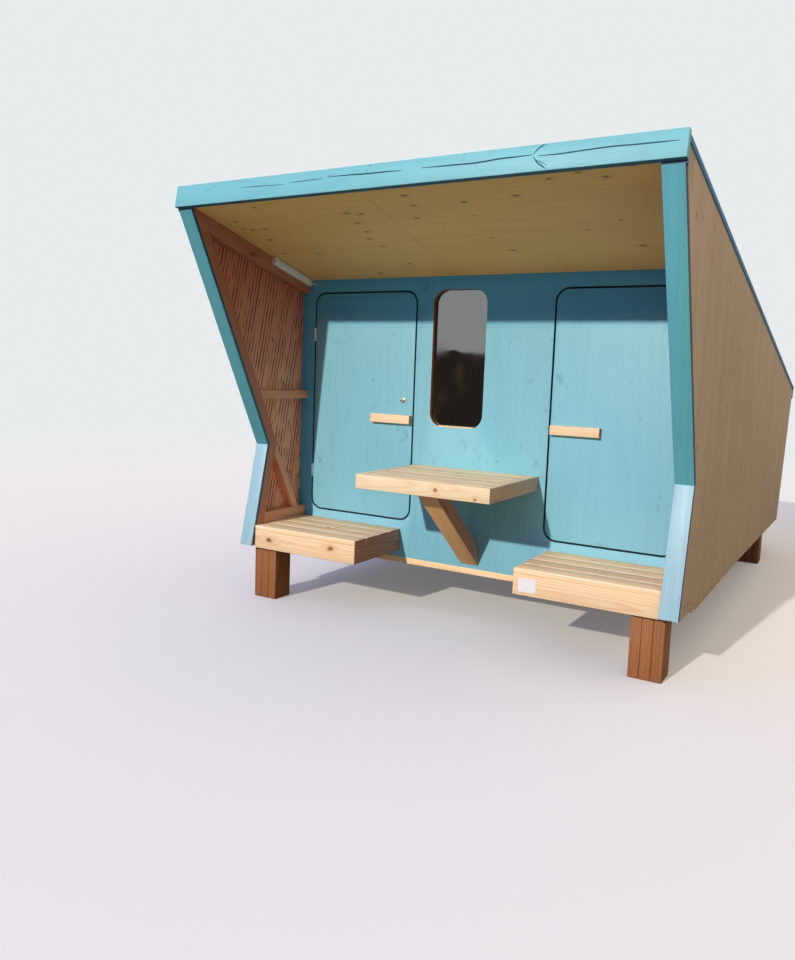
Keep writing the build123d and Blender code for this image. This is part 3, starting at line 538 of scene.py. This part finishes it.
def pickParts(piece, kind, test):
    # edit mode with those of the piece's verts, edges or faces picked that pass the test
    if bpy.context.mode == "OBJECT":
        pick(piece)
        setMode("EDIT")
    bpy.ops.mesh.select_all(action="DESELECT")
    bpy.ops.mesh.select_mode(type=kind)
    shape = bmesh.from_edit_mesh(piece.data)
    for part in {"VERT": shape.verts, "EDGE": shape.edges, "FACE": shape.faces}[kind]:
        if test(part):
            part.select_set(True)
    shape.select_flush_mode()
    bmesh.update_edit_mesh(piece.data)


def middleOf(verts):
    return sum((vert.co for vert in verts), Vector()) / len(verts)


def spotOf(verts):
    # sorts boards and edges by their place, so that each run draws the same grain
    return tuple(round(number, 3) for number in middleOf(verts))


def edgeWay(edge):
    way = (edge.verts[1].co - edge.verts[0].co).normalized()
    return -way if max(way, key=abs) < 0 else way


def looseBoards(shape):
    boards, found = [], set()
    for start in shape.verts:
        if start.index in found:
            continue
        board, queue = [], [start]
        found.add(start.index)
        while queue:
            vert = queue.pop()
            board.append(vert)
            for edge in vert.link_edges:
                other = edge.other_vert(vert)
                if other.index not in found:
                    found.add(other.index)
                    queue.append(other)
        boards.append(board)
    return sorted(boards, key=spotOf)


# how far a board lies from its log's pith and leans on it, in metres: any board, and one with a given direction
loose = {"shift": 4, "aside": 0.03, "pith": (0.03, 0.09), "twist": 0.01, "tilt": 0.035}
given = {"shift": 2, "pith": 0.3, "tilt": 0.02}


def layGrain(piece, along, seed):
    # one board is one loose part: its own x runs along it, and y and z start from a pith outside or inside it
    dice = random.Random(seed)
    mesh = piece.data
    shape = bmesh.new()
    shape.from_mesh(mesh)
    shape.verts.ensure_lookup_table()
    grain = [None] * len(shape.verts)
    tones = [0.0] * len(shape.verts)
    for board in looseBoards(shape):
        edges = sorted({edge for vert in board for edge in vert.link_edges},
                       key=lambda edge: (-round(edge.calc_length(), 3), spotOf(edge.verts)))
        way = Vector(along).normalized() if along else edgeWay(edges[0])
        across = next((edgeWay(edge) for edge in edges if abs(edgeWay(edge).dot(way)) < planing["square"]),
                      way.orthogonal())
        side = (across - way * across.dot(way)).normalized()
        third = way.cross(side)
        middle = middleOf(board)
        if along:
            pith = (dice.uniform(-given["shift"], given["shift"]), 0.0, given["pith"])
            tilt = (0.0, given["tilt"])
        else:
            shift, aside = [dice.uniform(-loose[name], loose[name]) for name in ("shift", "aside")]
            pith = (shift, aside, dice.choice((-1, 1)) * dice.uniform(*loose["pith"]))
            tilt = [dice.uniform(-loose[name], loose[name]) for name in ("twist", "tilt")]
        tone = dice.random()
        for vert in board:
            away = vert.co - middle
            u = away.dot(way)
            grain[vert.index] = (u + pith[0], away.dot(side) + pith[1] + tilt[0] * u,
                                 away.dot(third) + pith[2] + tilt[1] * u)
            tones[vert.index] = tone
    shape.free()
    place = mesh.attributes.new("grain", "FLOAT_VECTOR", "POINT")
    place.data.foreach_set("vector", [number for point in grain for number in point])
    share = mesh.attributes.new("boardTone", "FLOAT", "POINT")
    share.data.foreach_set("value", tones)


def mergeMesh(piece):
    # loose CAD triangles become whole faces
    pick(piece)
    setMode("EDIT")
    bpy.ops.mesh.select_all(action="SELECT")
    bpy.ops.mesh.remove_doubles(threshold=planing["weld"])
    bpy.ops.mesh.dissolve_limited(angle_limit=radians(planing["flat"]))
    setMode("OBJECT")


def newObject(name, data):
    made = bpy.data.objects.new(name, data)
    bpy.context.scene.collection.objects.link(made)
    return made


def copyNode(name, node):
    copy = newObject(name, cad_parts[node].data.copy())
    copy.data.materials.clear()
    mergeMesh(copy)
    return copy


def roundEdges(piece, width, steps=2):
    bevel = piece.modifiers.new("easedEdges", "BEVEL")
    bevel.width = width
    bevel.segments = steps
    bevel.limit_method = "ANGLE"
    bevel.angle_limit = radians(planing["sharpFrom"])
    bpy.ops.object.modifier_apply(modifier=bevel.name)


def easeEdges(piece, mm):
    pick(piece)
    roundEdges(piece, mm / 1000)
    bpy.ops.object.shade_smooth_by_angle(angle=radians(planing["smoothTo"]))


def joinAll(pieces, name):
    pick(pieces[0])
    for piece in pieces[1:]:
        piece.select_set(True)
    bpy.ops.object.join()
    pieces[0].name = name
    return pieces[0]


def settle(piece, nodes=(), body="cabin", finish=None):
    if finish:
        piece.data.materials.clear()
        piece.data.materials.append(finishes[finish])
    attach(piece, body)
    if nodes:
        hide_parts(*nodes)


def paintFaces(piece, names, choose=None):
    # the finishes by name, and where there are more than one, which of them a face takes
    for name in names.split():
        piece.data.materials.append(finishes[name])
    if choose:
        for face in piece.data.polygons:
            face.material_index = choose(face.center, face.normal)


def timberPiece(name, node, slot, ease, names, along=None, choose=None, shaping=None, body="cabin"):
    piece = copyNode(name, node)
    if shaping:
        shaping(piece)
    easeEdges(piece, ease)
    layGrain(piece, along, name)
    paintFaces(piece, names, choose)
    settle(piece, [node], body)


# which way a face has to turn to take another finish, and below which heights in metres the wood is paler
turned = {"front": 0.5, "across": 0.7, "capSide": 0.8, "easedEdge": (0.3, 0.95)}
paleBelow = {"rails": 1.4, "caps": 0.9}


# faces to the left or right, the boards' sides, which take the second finish: painted shade
def acrossGrain(centre, normal):
    return int(abs(normal.x) > turned["across"])


# the planks' upper eased edges, which take the painted highlight
def upperEdge(centre, normal):
    low, high = turned["easedEdge"]
    return int(low < normal.z < high and abs(normal.x) < low)


tableStrut = {"runOn": 0.1255, "rise": 0.105, "head": 0.05, "skin": 0.001}


def runStrutOn(piece):
    # the strut's outer face goes straight on up between the table's inner boards, with no plumb cut at its head
    top = max(vert.co.z for vert in piece.data.vertices) - tableStrut["head"]
    front = min(vert.co.y for vert in piece.data.vertices) + tableStrut["skin"]
    pickParts(piece, "VERT", lambda vert: vert.co.z < top and vert.co.y < front)
    bpy.ops.transform.translate(value=(0, -tableStrut["runOn"], tableStrut["rise"]))
    setMode("OBJECT")


xWay, yWay, zWay, liningWay = (1, 0, 0), (0, 1, 0), (0, 0, 1), (0, 0.22, 1)
timberPieces = [
    # name, node, slot, eased edge in mm, finishes, grain direction where it isn't the longest edge, finish of a face
    ("frontPostPlanks", "front_posts", "posts", 4.0, "larchPosts"),
    ("rearPostPlanks", "rear_posts", "posts", 4.0, "larchPosts"),
    ("bearerBeams", "side_bearers", "floor_timber", 2.0, "sawnSpruce"),
    ("joistRow", "floor_joists", "floor_timber", 2.0, "sawnSpruce"),
    ("soleBatten", "sole_strip", "floor_timber", 1.5, "larchBench"),
    ("wingBraces", "wing_braces", "porch_timber", 2.5, "larchRail"),
    ("rafterRow", "rafters", "frame_timber", 2.0, "sawnSpruce"),
    ("studRow", "wall_studs", "frame_timber", 2.0, "sawnSpruce"),
    ("windowBeadRing", "window_bead", "frame_timber", 1.5, "sawnSpruce", zWay),
    ("ceilingBoard", "porch_ceiling", "ceiling_ply", 1.0, "spruceCeiling", xWay),
    ("floorBoard", "floor_deck", "floor_ply", 1.0, "floorBirch", yWay),
    ("roofBoard", "roof_deck", "roof_ply", 1.0, "sawnSpruce", xWay),
    ("leftLiningBoard", "left_lining", "brushed_lining", 0.8, "brushedLarch", liningWay),
    ("rightLiningBoard", "right_lining", "brushed_lining", 0.8, "brushedLarch", liningWay),
    ("leftSideBoard", "left_outer_panel", "side_ply", 1.0, "oiledSpruceBoard", zWay),
    ("rightSideBoard", "right_outer_panel", "side_ply", 1.0, "oiledSpruceBoard", zWay),
    ("rearWallBoard", "rear_wall", "side_ply", 1.0, "oiledSpruceBoard", zWay),
    ("rearFasciaBoard", "rear_fascia", "teal_timber", 3.0, "tealFascia", xWay),
    ("roofEdgeTrims", "roof_edges", "edge_paint", 1.5, "blueEdge"),
    ("wingRails", "wing_rails", "porch_timber", 2.5, "larchPorch larchRail", None,
     lambda centre, normal: int(centre.z < paleBelow["rails"])),
    ("benchTopPlanks", "bench_tops", "bench_timber", 3.0, "larchBench larchSide larchWorn", None,
     lambda centre, normal: acrossGrain(centre, normal) or 2 * upperEdge(centre, normal)),
    ("benchAprons", "bench_frames", "bench_timber", 3.0, "larchBench larchSide", None, acrossGrain),
    ("tableTopPlanks", "table_planks", "bench_timber", 3.5, "larchTable larchWorn", None, upperEdge),
    ("tableApron", "table_frame", "bench_timber", 2.5, "larchTable larchEnd", None, acrossGrain),
    ("tableStrutBeam", "table_strut", "bench_timber", 3.0, "larchStrut larchSide", None, acrossGrain, runStrutOn),
    # the fascia's underside takes the navy: painted shade under the board
    ("fasciaBoard", "front_fascia", "teal_timber", 3.0, "tealFascia navyGroove", xWay,
     lambda centre, normal: int(normal.z < -turned["across"])),
    # the stop battens' front faces take the navy: painted shade in the gap round the doors
    ("stopBattens", "door_stops", "frame_timber", 1.0, "navyGroove sawnSpruce", None,
     lambda centre, normal: int(normal.y >= -turned["front"])),
]
for row in timberPieces:
    timberPiece(*row)
print("timber pieces eased and grained:", len(timberPieces))

# bent studs: a mitre at the knee parts each into two boards
knee = {"depth": -0.363, "height": 0.913, "lean": 27.2, "footDepth": -0.496, "footHeight": 0.315,
        "eased": 2.5}


def splitAtKnee(name, node):
    upperWay = Vector((0, -sin(radians(knee["lean"])), cos(radians(knee["lean"]))))
    lowerWay = Vector((0, knee["depth"] - knee["footDepth"], knee["height"] - knee["footHeight"])).normalized()
    mitre = (upperWay + lowerWay).normalized()
    corner = Vector((0, wallFace + knee["depth"], knee["height"]))
    halves = []
    for part in ("Upper", "Lower"):
        half = copyNode(name + part, node)
        setMode("EDIT")
        bpy.ops.mesh.select_all(action="SELECT")
        bpy.ops.mesh.bisect(plane_co=corner, plane_no=mitre, use_fill=True, clear_inner=part == "Upper",
                            clear_outer=part == "Lower")
        setMode("OBJECT")
        halves.append(half)
    return joinAll(halves, name)


wingStuds = splitAtKnee("wingStudBoards", "wing_studs")
easeEdges(wingStuds, knee["eased"])
layGrain(wingStuds, None, "wingStuds")
settle(wingStuds, ["wing_studs"], finish="larchPorch")

# caps: teal above the knee, paler and streaky below it, navy on their sides as painted shade
for side, upper in (("left", "tealUpperCap"), ("right", "tealSunnedCap")):
    timberPiece(side + "CapBoards", side + "_caps", "teal_timber", 2.0, upper + " paleLowerCap navyGroove",
                choose=lambda centre, normal: (2 if abs(normal.x) > turned["capSide"]
                                               else int(centre.z < paleBelow["caps"])))
print("studs and caps done")

# front wall in one board, its doorways and window cut through
wall = {"eased": 1.5, "windowMargin": 0.02}
wallNodes = ["front_wall_middle", "front_wall_jambs", "front_wall_headers", "front_wall_sills"]
wallBoard = copyNode("frontWallBoard", wallNodes[0])
for node in wallNodes[1:]:
    other = copyNode("wallPart", node)
    pick(wallBoard)
    weld = wallBoard.modifiers.new("weldParts", "BOOLEAN")
    weld.operation = "UNION"
    weld.solver = "EXACT"
    weld.object = other
    bpy.ops.object.modifier_apply(modifier=weld.name)
    bpy.data.objects.remove(other)
mergeMesh(wallBoard)
easeEdges(wallBoard, wall["eased"])
layGrain(wallBoard, zWay, "frontWall")
windowLow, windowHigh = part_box("window_glass")


def wallFinish(centre, normal):
    # blue in front, bare behind, the posts' darker brown round the window as painted shade in its reveal, and navy on
    # the other cut edges, partly painted shade in the gaps round the doors
    nearWindow = (windowLow.x - wall["windowMargin"] < centre.x < windowHigh.x + wall["windowMargin"]
                  and windowLow.z < centre.z < windowHigh.z)
    if normal.y < -turned["front"]:
        return 0
    if nearWindow and normal.y < turned["front"]:
        return 3
    return 2 if normal.y > turned["front"] else 1


paintFaces(wallBoard, "blueWall navyGroove sawnSpruce larchPosts", wallFinish)
settle(wallBoard, wallNodes)
print("front wall welded, faces:", len(wallBoard.data.polygons))

# doors and their pulls, each leaf navy round its edges in front as painted shade in the gaps, the pulls' ends darker
# as painted shade
doorGroove = 0.026
for side in ("left", "right"):
    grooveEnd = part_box(side + "_door")[0].y + doorGroove
    timberPiece(side + "DoorLeaf", side + "_door", "blue_doors", 1.8, "blueWall navyGroove sawnSpruce", zWay,
                lambda centre, normal: (0 if normal.y < -turned["front"]
                                        else 2 - int(centre.y < grooveEnd and normal.y < turned["front"])),
                body=side + "_door")
    timberPiece(side + "DoorPull", side + "_door_pull", "pull_timber", 2.0, "pinePull larchSide",
                choose=acrossGrain, body=side + "_door")
for node, finish in (("left_door_hinges", "satinSteel"), ("right_door_hinges", "satinSteel"),
                     ("jamb_hinges", "satinSteel"), ("window_glass", "coatedGlass"), ("roof_cover", "roofRubber")):
    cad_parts[node].data.materials.clear()
    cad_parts[node].data.materials.append(finishes[finish])
print("doors done")

# fittings, modelled from primitives: how squarely a face looks a way to be picked, before and after a bevel
picked, pickedFlat = 0.9, 0.99


def pushOut(y=0.0, z=0.0):
    bpy.ops.mesh.extrude_region_move(TRANSFORM_OT_translate={"value": (0, y, z)})


def smoothTo(angle):
    setMode("OBJECT")
    bpy.ops.object.shade_smooth_by_angle(angle=radians(angle))


def outward(piece):
    # turns all faces outwards after edit mode, and smooths again
    bpy.ops.mesh.select_all(action="SELECT")
    bpy.ops.mesh.normals_make_consistent(inside=False)
    smoothTo(planing["smoothTo"])


def cube(name, size):
    clearPicks()
    bpy.ops.mesh.primitive_cube_add(size=1, location=(0, 0, 0))
    piece = bpy.context.object
    piece.name = name
    piece.scale = size
    bpy.ops.object.transform_apply(location=False, rotation=False, scale=True)
    return piece


def leaning(place, degrees):
    return Matrix.Translation(place) @ Matrix.Rotation(radians(degrees), 4, "X")


def block(name, size, place, rounding, steps=2, lean=0.0):
    # a planed block in metres with its edges rounded, its place and lean in its mesh
    piece = cube(name, size)
    roundEdges(piece, rounding, steps)
    setMode("EDIT")
    outward(piece)
    piece.data.transform(leaning(place, lean))
    return piece


def drawnRod(name, points, radius, resolution, capped=False):
    # a round rod on one smooth line: each point has a place and the share of the radius there
    line = bpy.data.curves.new(name, "CURVE")
    line.dimensions = "3D"
    line.bevel_depth = radius
    line.bevel_resolution = resolution
    line.use_fill_caps = capped
    run = line.splines.new("NURBS")
    run.points.add(len(points) - 1)
    for point, (spot, share) in zip(run.points, points):
        point.co = (*spot, 1)
        point.radius = share
    run.order_u = 3
    run.use_endpoint_u = True
    pick(newObject(name, line))
    bpy.ops.object.convert(target="MESH")
    return bpy.context.object


# porch lamp: base channel, opal cover and end caps, tilted with the rail, and the elbow of its lead into the wall
lamp = {"length": 0.371, "height": 0.043, "depth": 0.029, "cap": 0.017, "tilt": -14.3, "baseThick": 0.010,
        "baseHeight": 0.040, "baseBack": 0.0098, "baseRounding": 0.001, "coverThick": 0.0185, "coverHeight": 0.039,
        "coverOut": 0.0045, "coverRounding": 0.007, "coverRim": 0.006, "coverCrown": 0.0012, "capRounding": 0.003,
        "capRim": 0.004, "capHollow": 0.001}
lampLow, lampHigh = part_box("porch_lamp")
tilted = leaning((lampLow + lampHigh) / 2, lamp["tilt"])
inner = lamp["length"] - 2 * lamp["cap"]
lampBase = block("lampBase", (lamp["baseThick"], inner, lamp["baseHeight"]), (-lamp["baseBack"], 0, 0),
                 lamp["baseRounding"])
lampCover = block("lampCover", (lamp["coverThick"], inner, lamp["coverHeight"]), (lamp["coverOut"], 0, 0),
                  lamp["coverRounding"], 5)
pickParts(lampCover, "FACE", lambda face: face.normal.x > picked)
bpy.ops.mesh.inset(thickness=lamp["coverRim"], depth=lamp["coverCrown"])
outward(lampCover)
lampCaps = []
for end in (-1, 1):
    cap = block("lampCap", (lamp["depth"], lamp["cap"], lamp["height"]),
                (0, end * (lamp["length"] - lamp["cap"]) / 2, 0), lamp["capRounding"], 3)
    pickParts(cap, "FACE", lambda face: face.normal.y * end > picked)
    bpy.ops.mesh.inset(thickness=lamp["capRim"], depth=-lamp["capHollow"])
    outward(cap)
    lampCaps.append(cap)
lampEnds = joinAll(lampCaps, "lampEndCaps")
for piece in (lampBase, lampCover, lampEnds):
    piece.data.transform(tilted)
settle(lampBase, finish="lampShell")
settle(lampCover, ["porch_lamp"], finish="opalCover")
settle(lampEnds, finish="lampShell")
elbow = {"radius": 0.0036, "resolution": 4,
         "points": [(-1.156, -1.343, 1.892), (-1.150, -1.337, 1.890), (-1.140, -1.334, 1.886),
                    (-1.133, -1.332, 1.883), (-1.130, -1.3285, 1.881)]}
lampElbow = drawnRod("lampElbow", [(spot, 1.0) for spot in elbow["points"]], elbow["radius"],
                     elbow["resolution"], capped=True)
settle(lampElbow, finish="lampShell")
print("lamp done")

# knob of the left door: rose, neck and turned head with its key slot
knob = {"rose": 0.0148, "roseDepth": 0.0038, "roseRounding": 0.0012, "neck": 0.0062, "neckDepth": 0.006,
        "flare": 0.002, "head": 0.0098, "headDepth": 0.0095, "headRounding": 0.0016, "slot": (0.0012, 0.0012, 0.0075),
        "slotProud": 0.0001, "slotRounding": 0.0003, "smoothTo": 30}
lockLow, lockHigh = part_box("door_lock")
lockMiddle = (lockLow + lockHigh) / 2
clearPicks()
bpy.ops.mesh.primitive_cylinder_add(vertices=48, radius=knob["rose"], depth=knob["roseDepth"], location=(0, 0, 0),
                                    rotation=(radians(90), 0, 0))
doorKnob = bpy.context.object
doorKnob.name = "doorKnob"
bpy.ops.object.transform_apply(location=False, rotation=True, scale=False)
pickParts(doorKnob, "FACE", lambda face: face.normal.y < -picked)
bpy.ops.mesh.bevel(offset=knob["roseRounding"], segments=3, affect="EDGES")
pickParts(doorKnob, "FACE", lambda face: face.normal.y < -pickedFlat)
bpy.ops.mesh.inset(thickness=knob["rose"] - knob["roseRounding"] - knob["neck"])
pushOut(y=-knob["neckDepth"])
pushOut(y=-knob["flare"])
grow = knob["head"] / knob["neck"]
bpy.ops.transform.resize(value=(grow, 1, grow), center_override=(0, 0, 0))
pushOut(y=knob["flare"] - knob["headDepth"])
bpy.ops.mesh.bevel(offset=knob["headRounding"], segments=3, affect="EDGES")
smoothTo(knob["smoothTo"])
doorKnob.data.transform(Matrix.Translation((lockMiddle.x, wallFace - knob["roseDepth"] / 2, lockMiddle.z)))
settle(doorKnob, ["door_lock"], "left_door", "agedBrass")
knobFront = min(vert.co.y for vert in doorKnob.data.vertices)
# the key slot: a thin dark block on the head's face, painted shade for the slot's hollow
keySlot = block("keySlot", knob["slot"], (lockMiddle.x, knobFront - knob["slotProud"], lockMiddle.z),
                knob["slotRounding"])
settle(keySlot, (), "left_door", "checkShadow")
print("knob done")

# blank plate on the right bench
plate = {"left": 0.497, "right": 0.585, "low": 0.320, "high": 0.389, "thick": 0.0012, "corner": 0.004,
         "rounding": 0.0003, "sunk": 0.0002}
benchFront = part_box("bench_frames")[0].y
blankPlate = cube("blankPlate", (plate["right"] - plate["left"], plate["thick"], plate["high"] - plate["low"]))
pickParts(blankPlate, "EDGE", lambda edge: edgeWay(edge).y > picked)
bpy.ops.mesh.bevel(offset=plate["corner"], segments=5, affect="EDGES")
pickParts(blankPlate, "FACE", lambda face: face.normal.y < -picked)
bpy.ops.mesh.bevel(offset=plate["rounding"], segments=2, affect="EDGES")
setMode("OBJECT")
blankPlate.data.transform(Matrix.Translation(((plate["left"] + plate["right"]) / 2,
                                              benchFront - plate["thick"] / 2 + plate["sunk"],
                                              (plate["low"] + plate["high"]) / 2)))
settle(blankPlate, finish="whiteVinyl")
print("blank plate done")

# screws: one countersunk head, copied onto every plank, each turned on from the last
screw = {"radius": 0.0042, "length": 0.002, "proud": 0.0006, "sides": 16, "recess": 0.0019, "recessDepth": 0.0009,
         "rim": 0.0001, "turn": 1.7, "smoothTo": 30}


def screwHead():
    clearPicks()
    bpy.ops.mesh.primitive_cylinder_add(vertices=screw["sides"], radius=screw["radius"], depth=screw["length"],
                                        location=(0, 0, screw["proud"] - screw["length"] / 2))
    head = bpy.context.object
    bpy.ops.object.transform_apply(location=True, rotation=False, scale=False)
    pickParts(head, "FACE", lambda face: face.normal.z > picked)
    bpy.ops.mesh.inset(thickness=screw["radius"] - screw["recess"], depth=screw["rim"])
    pushOut(z=-screw["recessDepth"])
    setMode("OBJECT")
    return head


def plankSpots(node, count, columns):
    # two screws to each plank in every column
    low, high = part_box(node)
    pitch = (high.y - low.y) / count
    return [(x, low.y + pitch * (index + share), high.z)
            for x in columns for index in range(count) for share in (0.25, 0.75)]


spots = (plankSpots("bench_tops", 4, (-1.19, -0.85, -0.49, 0.49, 0.85, 1.19))
         + plankSpots("table_planks", 5, (-0.33, 0.0, 0.338)))
master = screwHead()
heads = []
for index, spot in enumerate(spots):
    head = newObject("plankScrews", master.data.copy())
    head.data.transform(Matrix.Translation(spot) @ Matrix.Rotation(index * screw["turn"], 4, "Z"))
    heads.append(head)
bpy.data.objects.remove(master)
plankScrews = joinAll(heads, "plankScrews")
smoothTo(screw["smoothTo"])
settle(plankScrews, finish="zincScrew")

# fascia: drying checks and knot splits, each with its share of the width, drawn where they lie on the board:
# x from the middle in metres, height from the lower edge in mm
fascia = {"low": (-2.3740, 2.1641), "pitch": 10.86, "splitRadius": 0.0023, "resolution": 2, "pointed": 0.35,
          "flatten": 0.25}
fasciaUp = Vector((0, sin(radians(fascia["pitch"])), cos(radians(fascia["pitch"]))))
fasciaOut = Vector((0, -cos(radians(fascia["pitch"])), sin(radians(fascia["pitch"]))))
fasciaLow = Vector((0, *fascia["low"]))
splits = [
    (1.3, [(-0.833, 66.5), (-0.70, 63), (-0.568, 58.5)]),
    (1.3, [(-0.533, 65), (-0.44, 64), (-0.346, 67.5)]),
    (1.5, [(-0.313, 71), (-0.20, 70.5), (-0.10, 66), (0.0, 66.5), (0.074, 64)]),
    (1.5, [(0.173, 65.5), (0.30, 64), (0.441, 60.5), (0.53, 69), (0.60, 68), (0.674, 69.5)]),
    (1.3, [(0.70, 63), (0.774, 60.5), (0.873, 65), (1.0, 69), (1.082, 65.5), (1.17, 65.5), (1.238, 64.5)]),
    (1.1, [(0.678, 70), (0.688, 82), (0.702, 98), (0.724, 109)]),
    (0.8, [(0.694, 88), (0.712, 101), (0.738, 107)]),
    (1.2, [(0.680, 62), (0.690, 45), (0.712, 23), (0.742, 6)]),
    (0.9, [(0.688, 50), (0.714, 36), (0.730, 14)]),
    (0.7, [(0.704, 44), (0.722, 36), (0.742, 18)]),
    (0.8, [(0.379, 108), (0.373, 96)]),
    (0.8, [(0.371, 88), (0.371, 74)]),
    (0.7, [(0.432, 56), (0.444, 30)]),
    (1.1, [(-0.087, 109), (-0.094, 96)]),
    (1.1, [(-0.098, 88), (-0.106, 68)]),
    (1.0, [(-1.014, 90), (-1.03, 83)]),
    (1.1, [(-1.042, 77), (-1.063, 64)]),
]
splitPieces = []
for width, points in splits:
    drawn = []
    for x, up in points:
        spot = fasciaLow + fasciaUp * (up / 1000)
        atEnd = (x, up) in (points[0], points[-1])
        drawn.append(((x, spot.y, spot.z), width * (fascia["pointed"] if atEnd else 1.0)))
    splitPieces.append(drawnRod("fasciaSplit", drawn, fascia["splitRadius"], fascia["resolution"]))
fasciaSplits = joinAll(splitPieces, "fasciaSplits")
for vert in fasciaSplits.data.vertices:
    vert.co -= fasciaOut * (vert.co - fasciaLow).dot(fasciaOut) * (1 - fascia["flatten"])
settle(fasciaSplits, finish="checkShadow")

# board joints: one in the ceiling, front to back, and one in the wall over the window
joints = {"width": 0.0016, "depth": 0.0010, "rounding": 0.0003, "ceilingX": -0.155, "ceilingFrom": -2.26,
          "ceilingTo": -1.35, "headerX": -0.306, "headerFoot": 1.87, "headerTop": 1.905}
length = (joints["ceilingTo"] - joints["ceilingFrom"]) / cos(radians(ceiling["slope"]))
middle = onCeiling(joints["ceilingX"], (joints["ceilingFrom"] + joints["ceilingTo"]) / 2, 0)[:3]
ceilingJoint = block("ceilingJoint", (joints["width"], length, joints["depth"]), middle, joints["rounding"],
                     lean=-ceiling["slope"])
headerJoint = block("headerJoint", (joints["width"], joints["depth"], joints["headerTop"] - joints["headerFoot"]),
                    (joints["headerX"], wallFace, (joints["headerTop"] + joints["headerFoot"]) / 2),
                    joints["rounding"])

# sill of the window: a slip of bare pine along the foot of the opening
sill = {"middle": -0.130, "width": 0.216, "depth": 0.024, "height": 0.0085, "foot": 1.0598, "setBack": 0.0005,
        "rounding": 0.0015}
windowSill = block("windowSill", (sill["width"], sill["depth"], sill["height"]),
                   (sill["middle"], wallFace + sill["setBack"] + sill["depth"] / 2, sill["foot"] + sill["height"] / 2),
                   sill["rounding"])
for piece, slot, finish in ((ceilingJoint, "ceiling_ply", "larchSide"), (headerJoint, "blue_boarding", "navyGroove"),
                            (windowSill, "frame_timber", "pinePull")):
    layGrain(piece, None, piece.name)
    settle(piece, finish=finish)

# packers that close the gap between the caps' tops and the fascia, navy: painted shade in that gap
packer = {"inner": 1.176, "outer": 1.268, "back": -2.3285, "depth": 0.020, "low": 2.1462, "height": 0.0135,
          "lean": -10.86, "rounding": 0.001}
packers = []
for side in (-1, 1):
    place = (side * (packer["inner"] + packer["outer"]) / 2, packer["back"] - packer["depth"] / 2,
             packer["low"] + packer["height"] / 2)
    packers.append(block("capPackers", (packer["outer"] - packer["inner"], packer["depth"], packer["height"]), place,
                         packer["rounding"], lean=packer["lean"]))
capPackers = joinAll(packers, "capPackers")
layGrain(capPackers, xWay, "capPackers")
settle(capPackers, finish="navyGroove")

# roof membrane: lap seams down the slope
roof = {"pitch": 10.86, "seamWidth": 0.045, "seamThick": 0.0022, "seams": (-0.62, 0.0, 0.62), "short": 0.03,
        "from": 0.012, "sunk": 0.0006, "rounding": 0.0009}
coverLow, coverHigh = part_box("roof_cover")
slope = radians(roof["pitch"])
slopeLength = (coverHigh.y - coverLow.y) / cos(slope) - roof["short"]
middle = (Vector((0, coverLow.y, coverHigh.z)) + Vector((0, cos(slope), -sin(slope))) * (slopeLength / 2 + roof["from"])
          + Vector((0, sin(slope), cos(slope))) * (roof["seamThick"] / 2 - roof["sunk"]))
for index, x in enumerate(roof["seams"]):
    seam = block("roofSeam%d" % (index + 1), (roof["seamWidth"], slopeLength, roof["seamThick"]),
                 (x, middle.y, middle.z), roof["rounding"], lean=-roof["pitch"])
    settle(seam, finish="roofRubber")
print("fittings done")
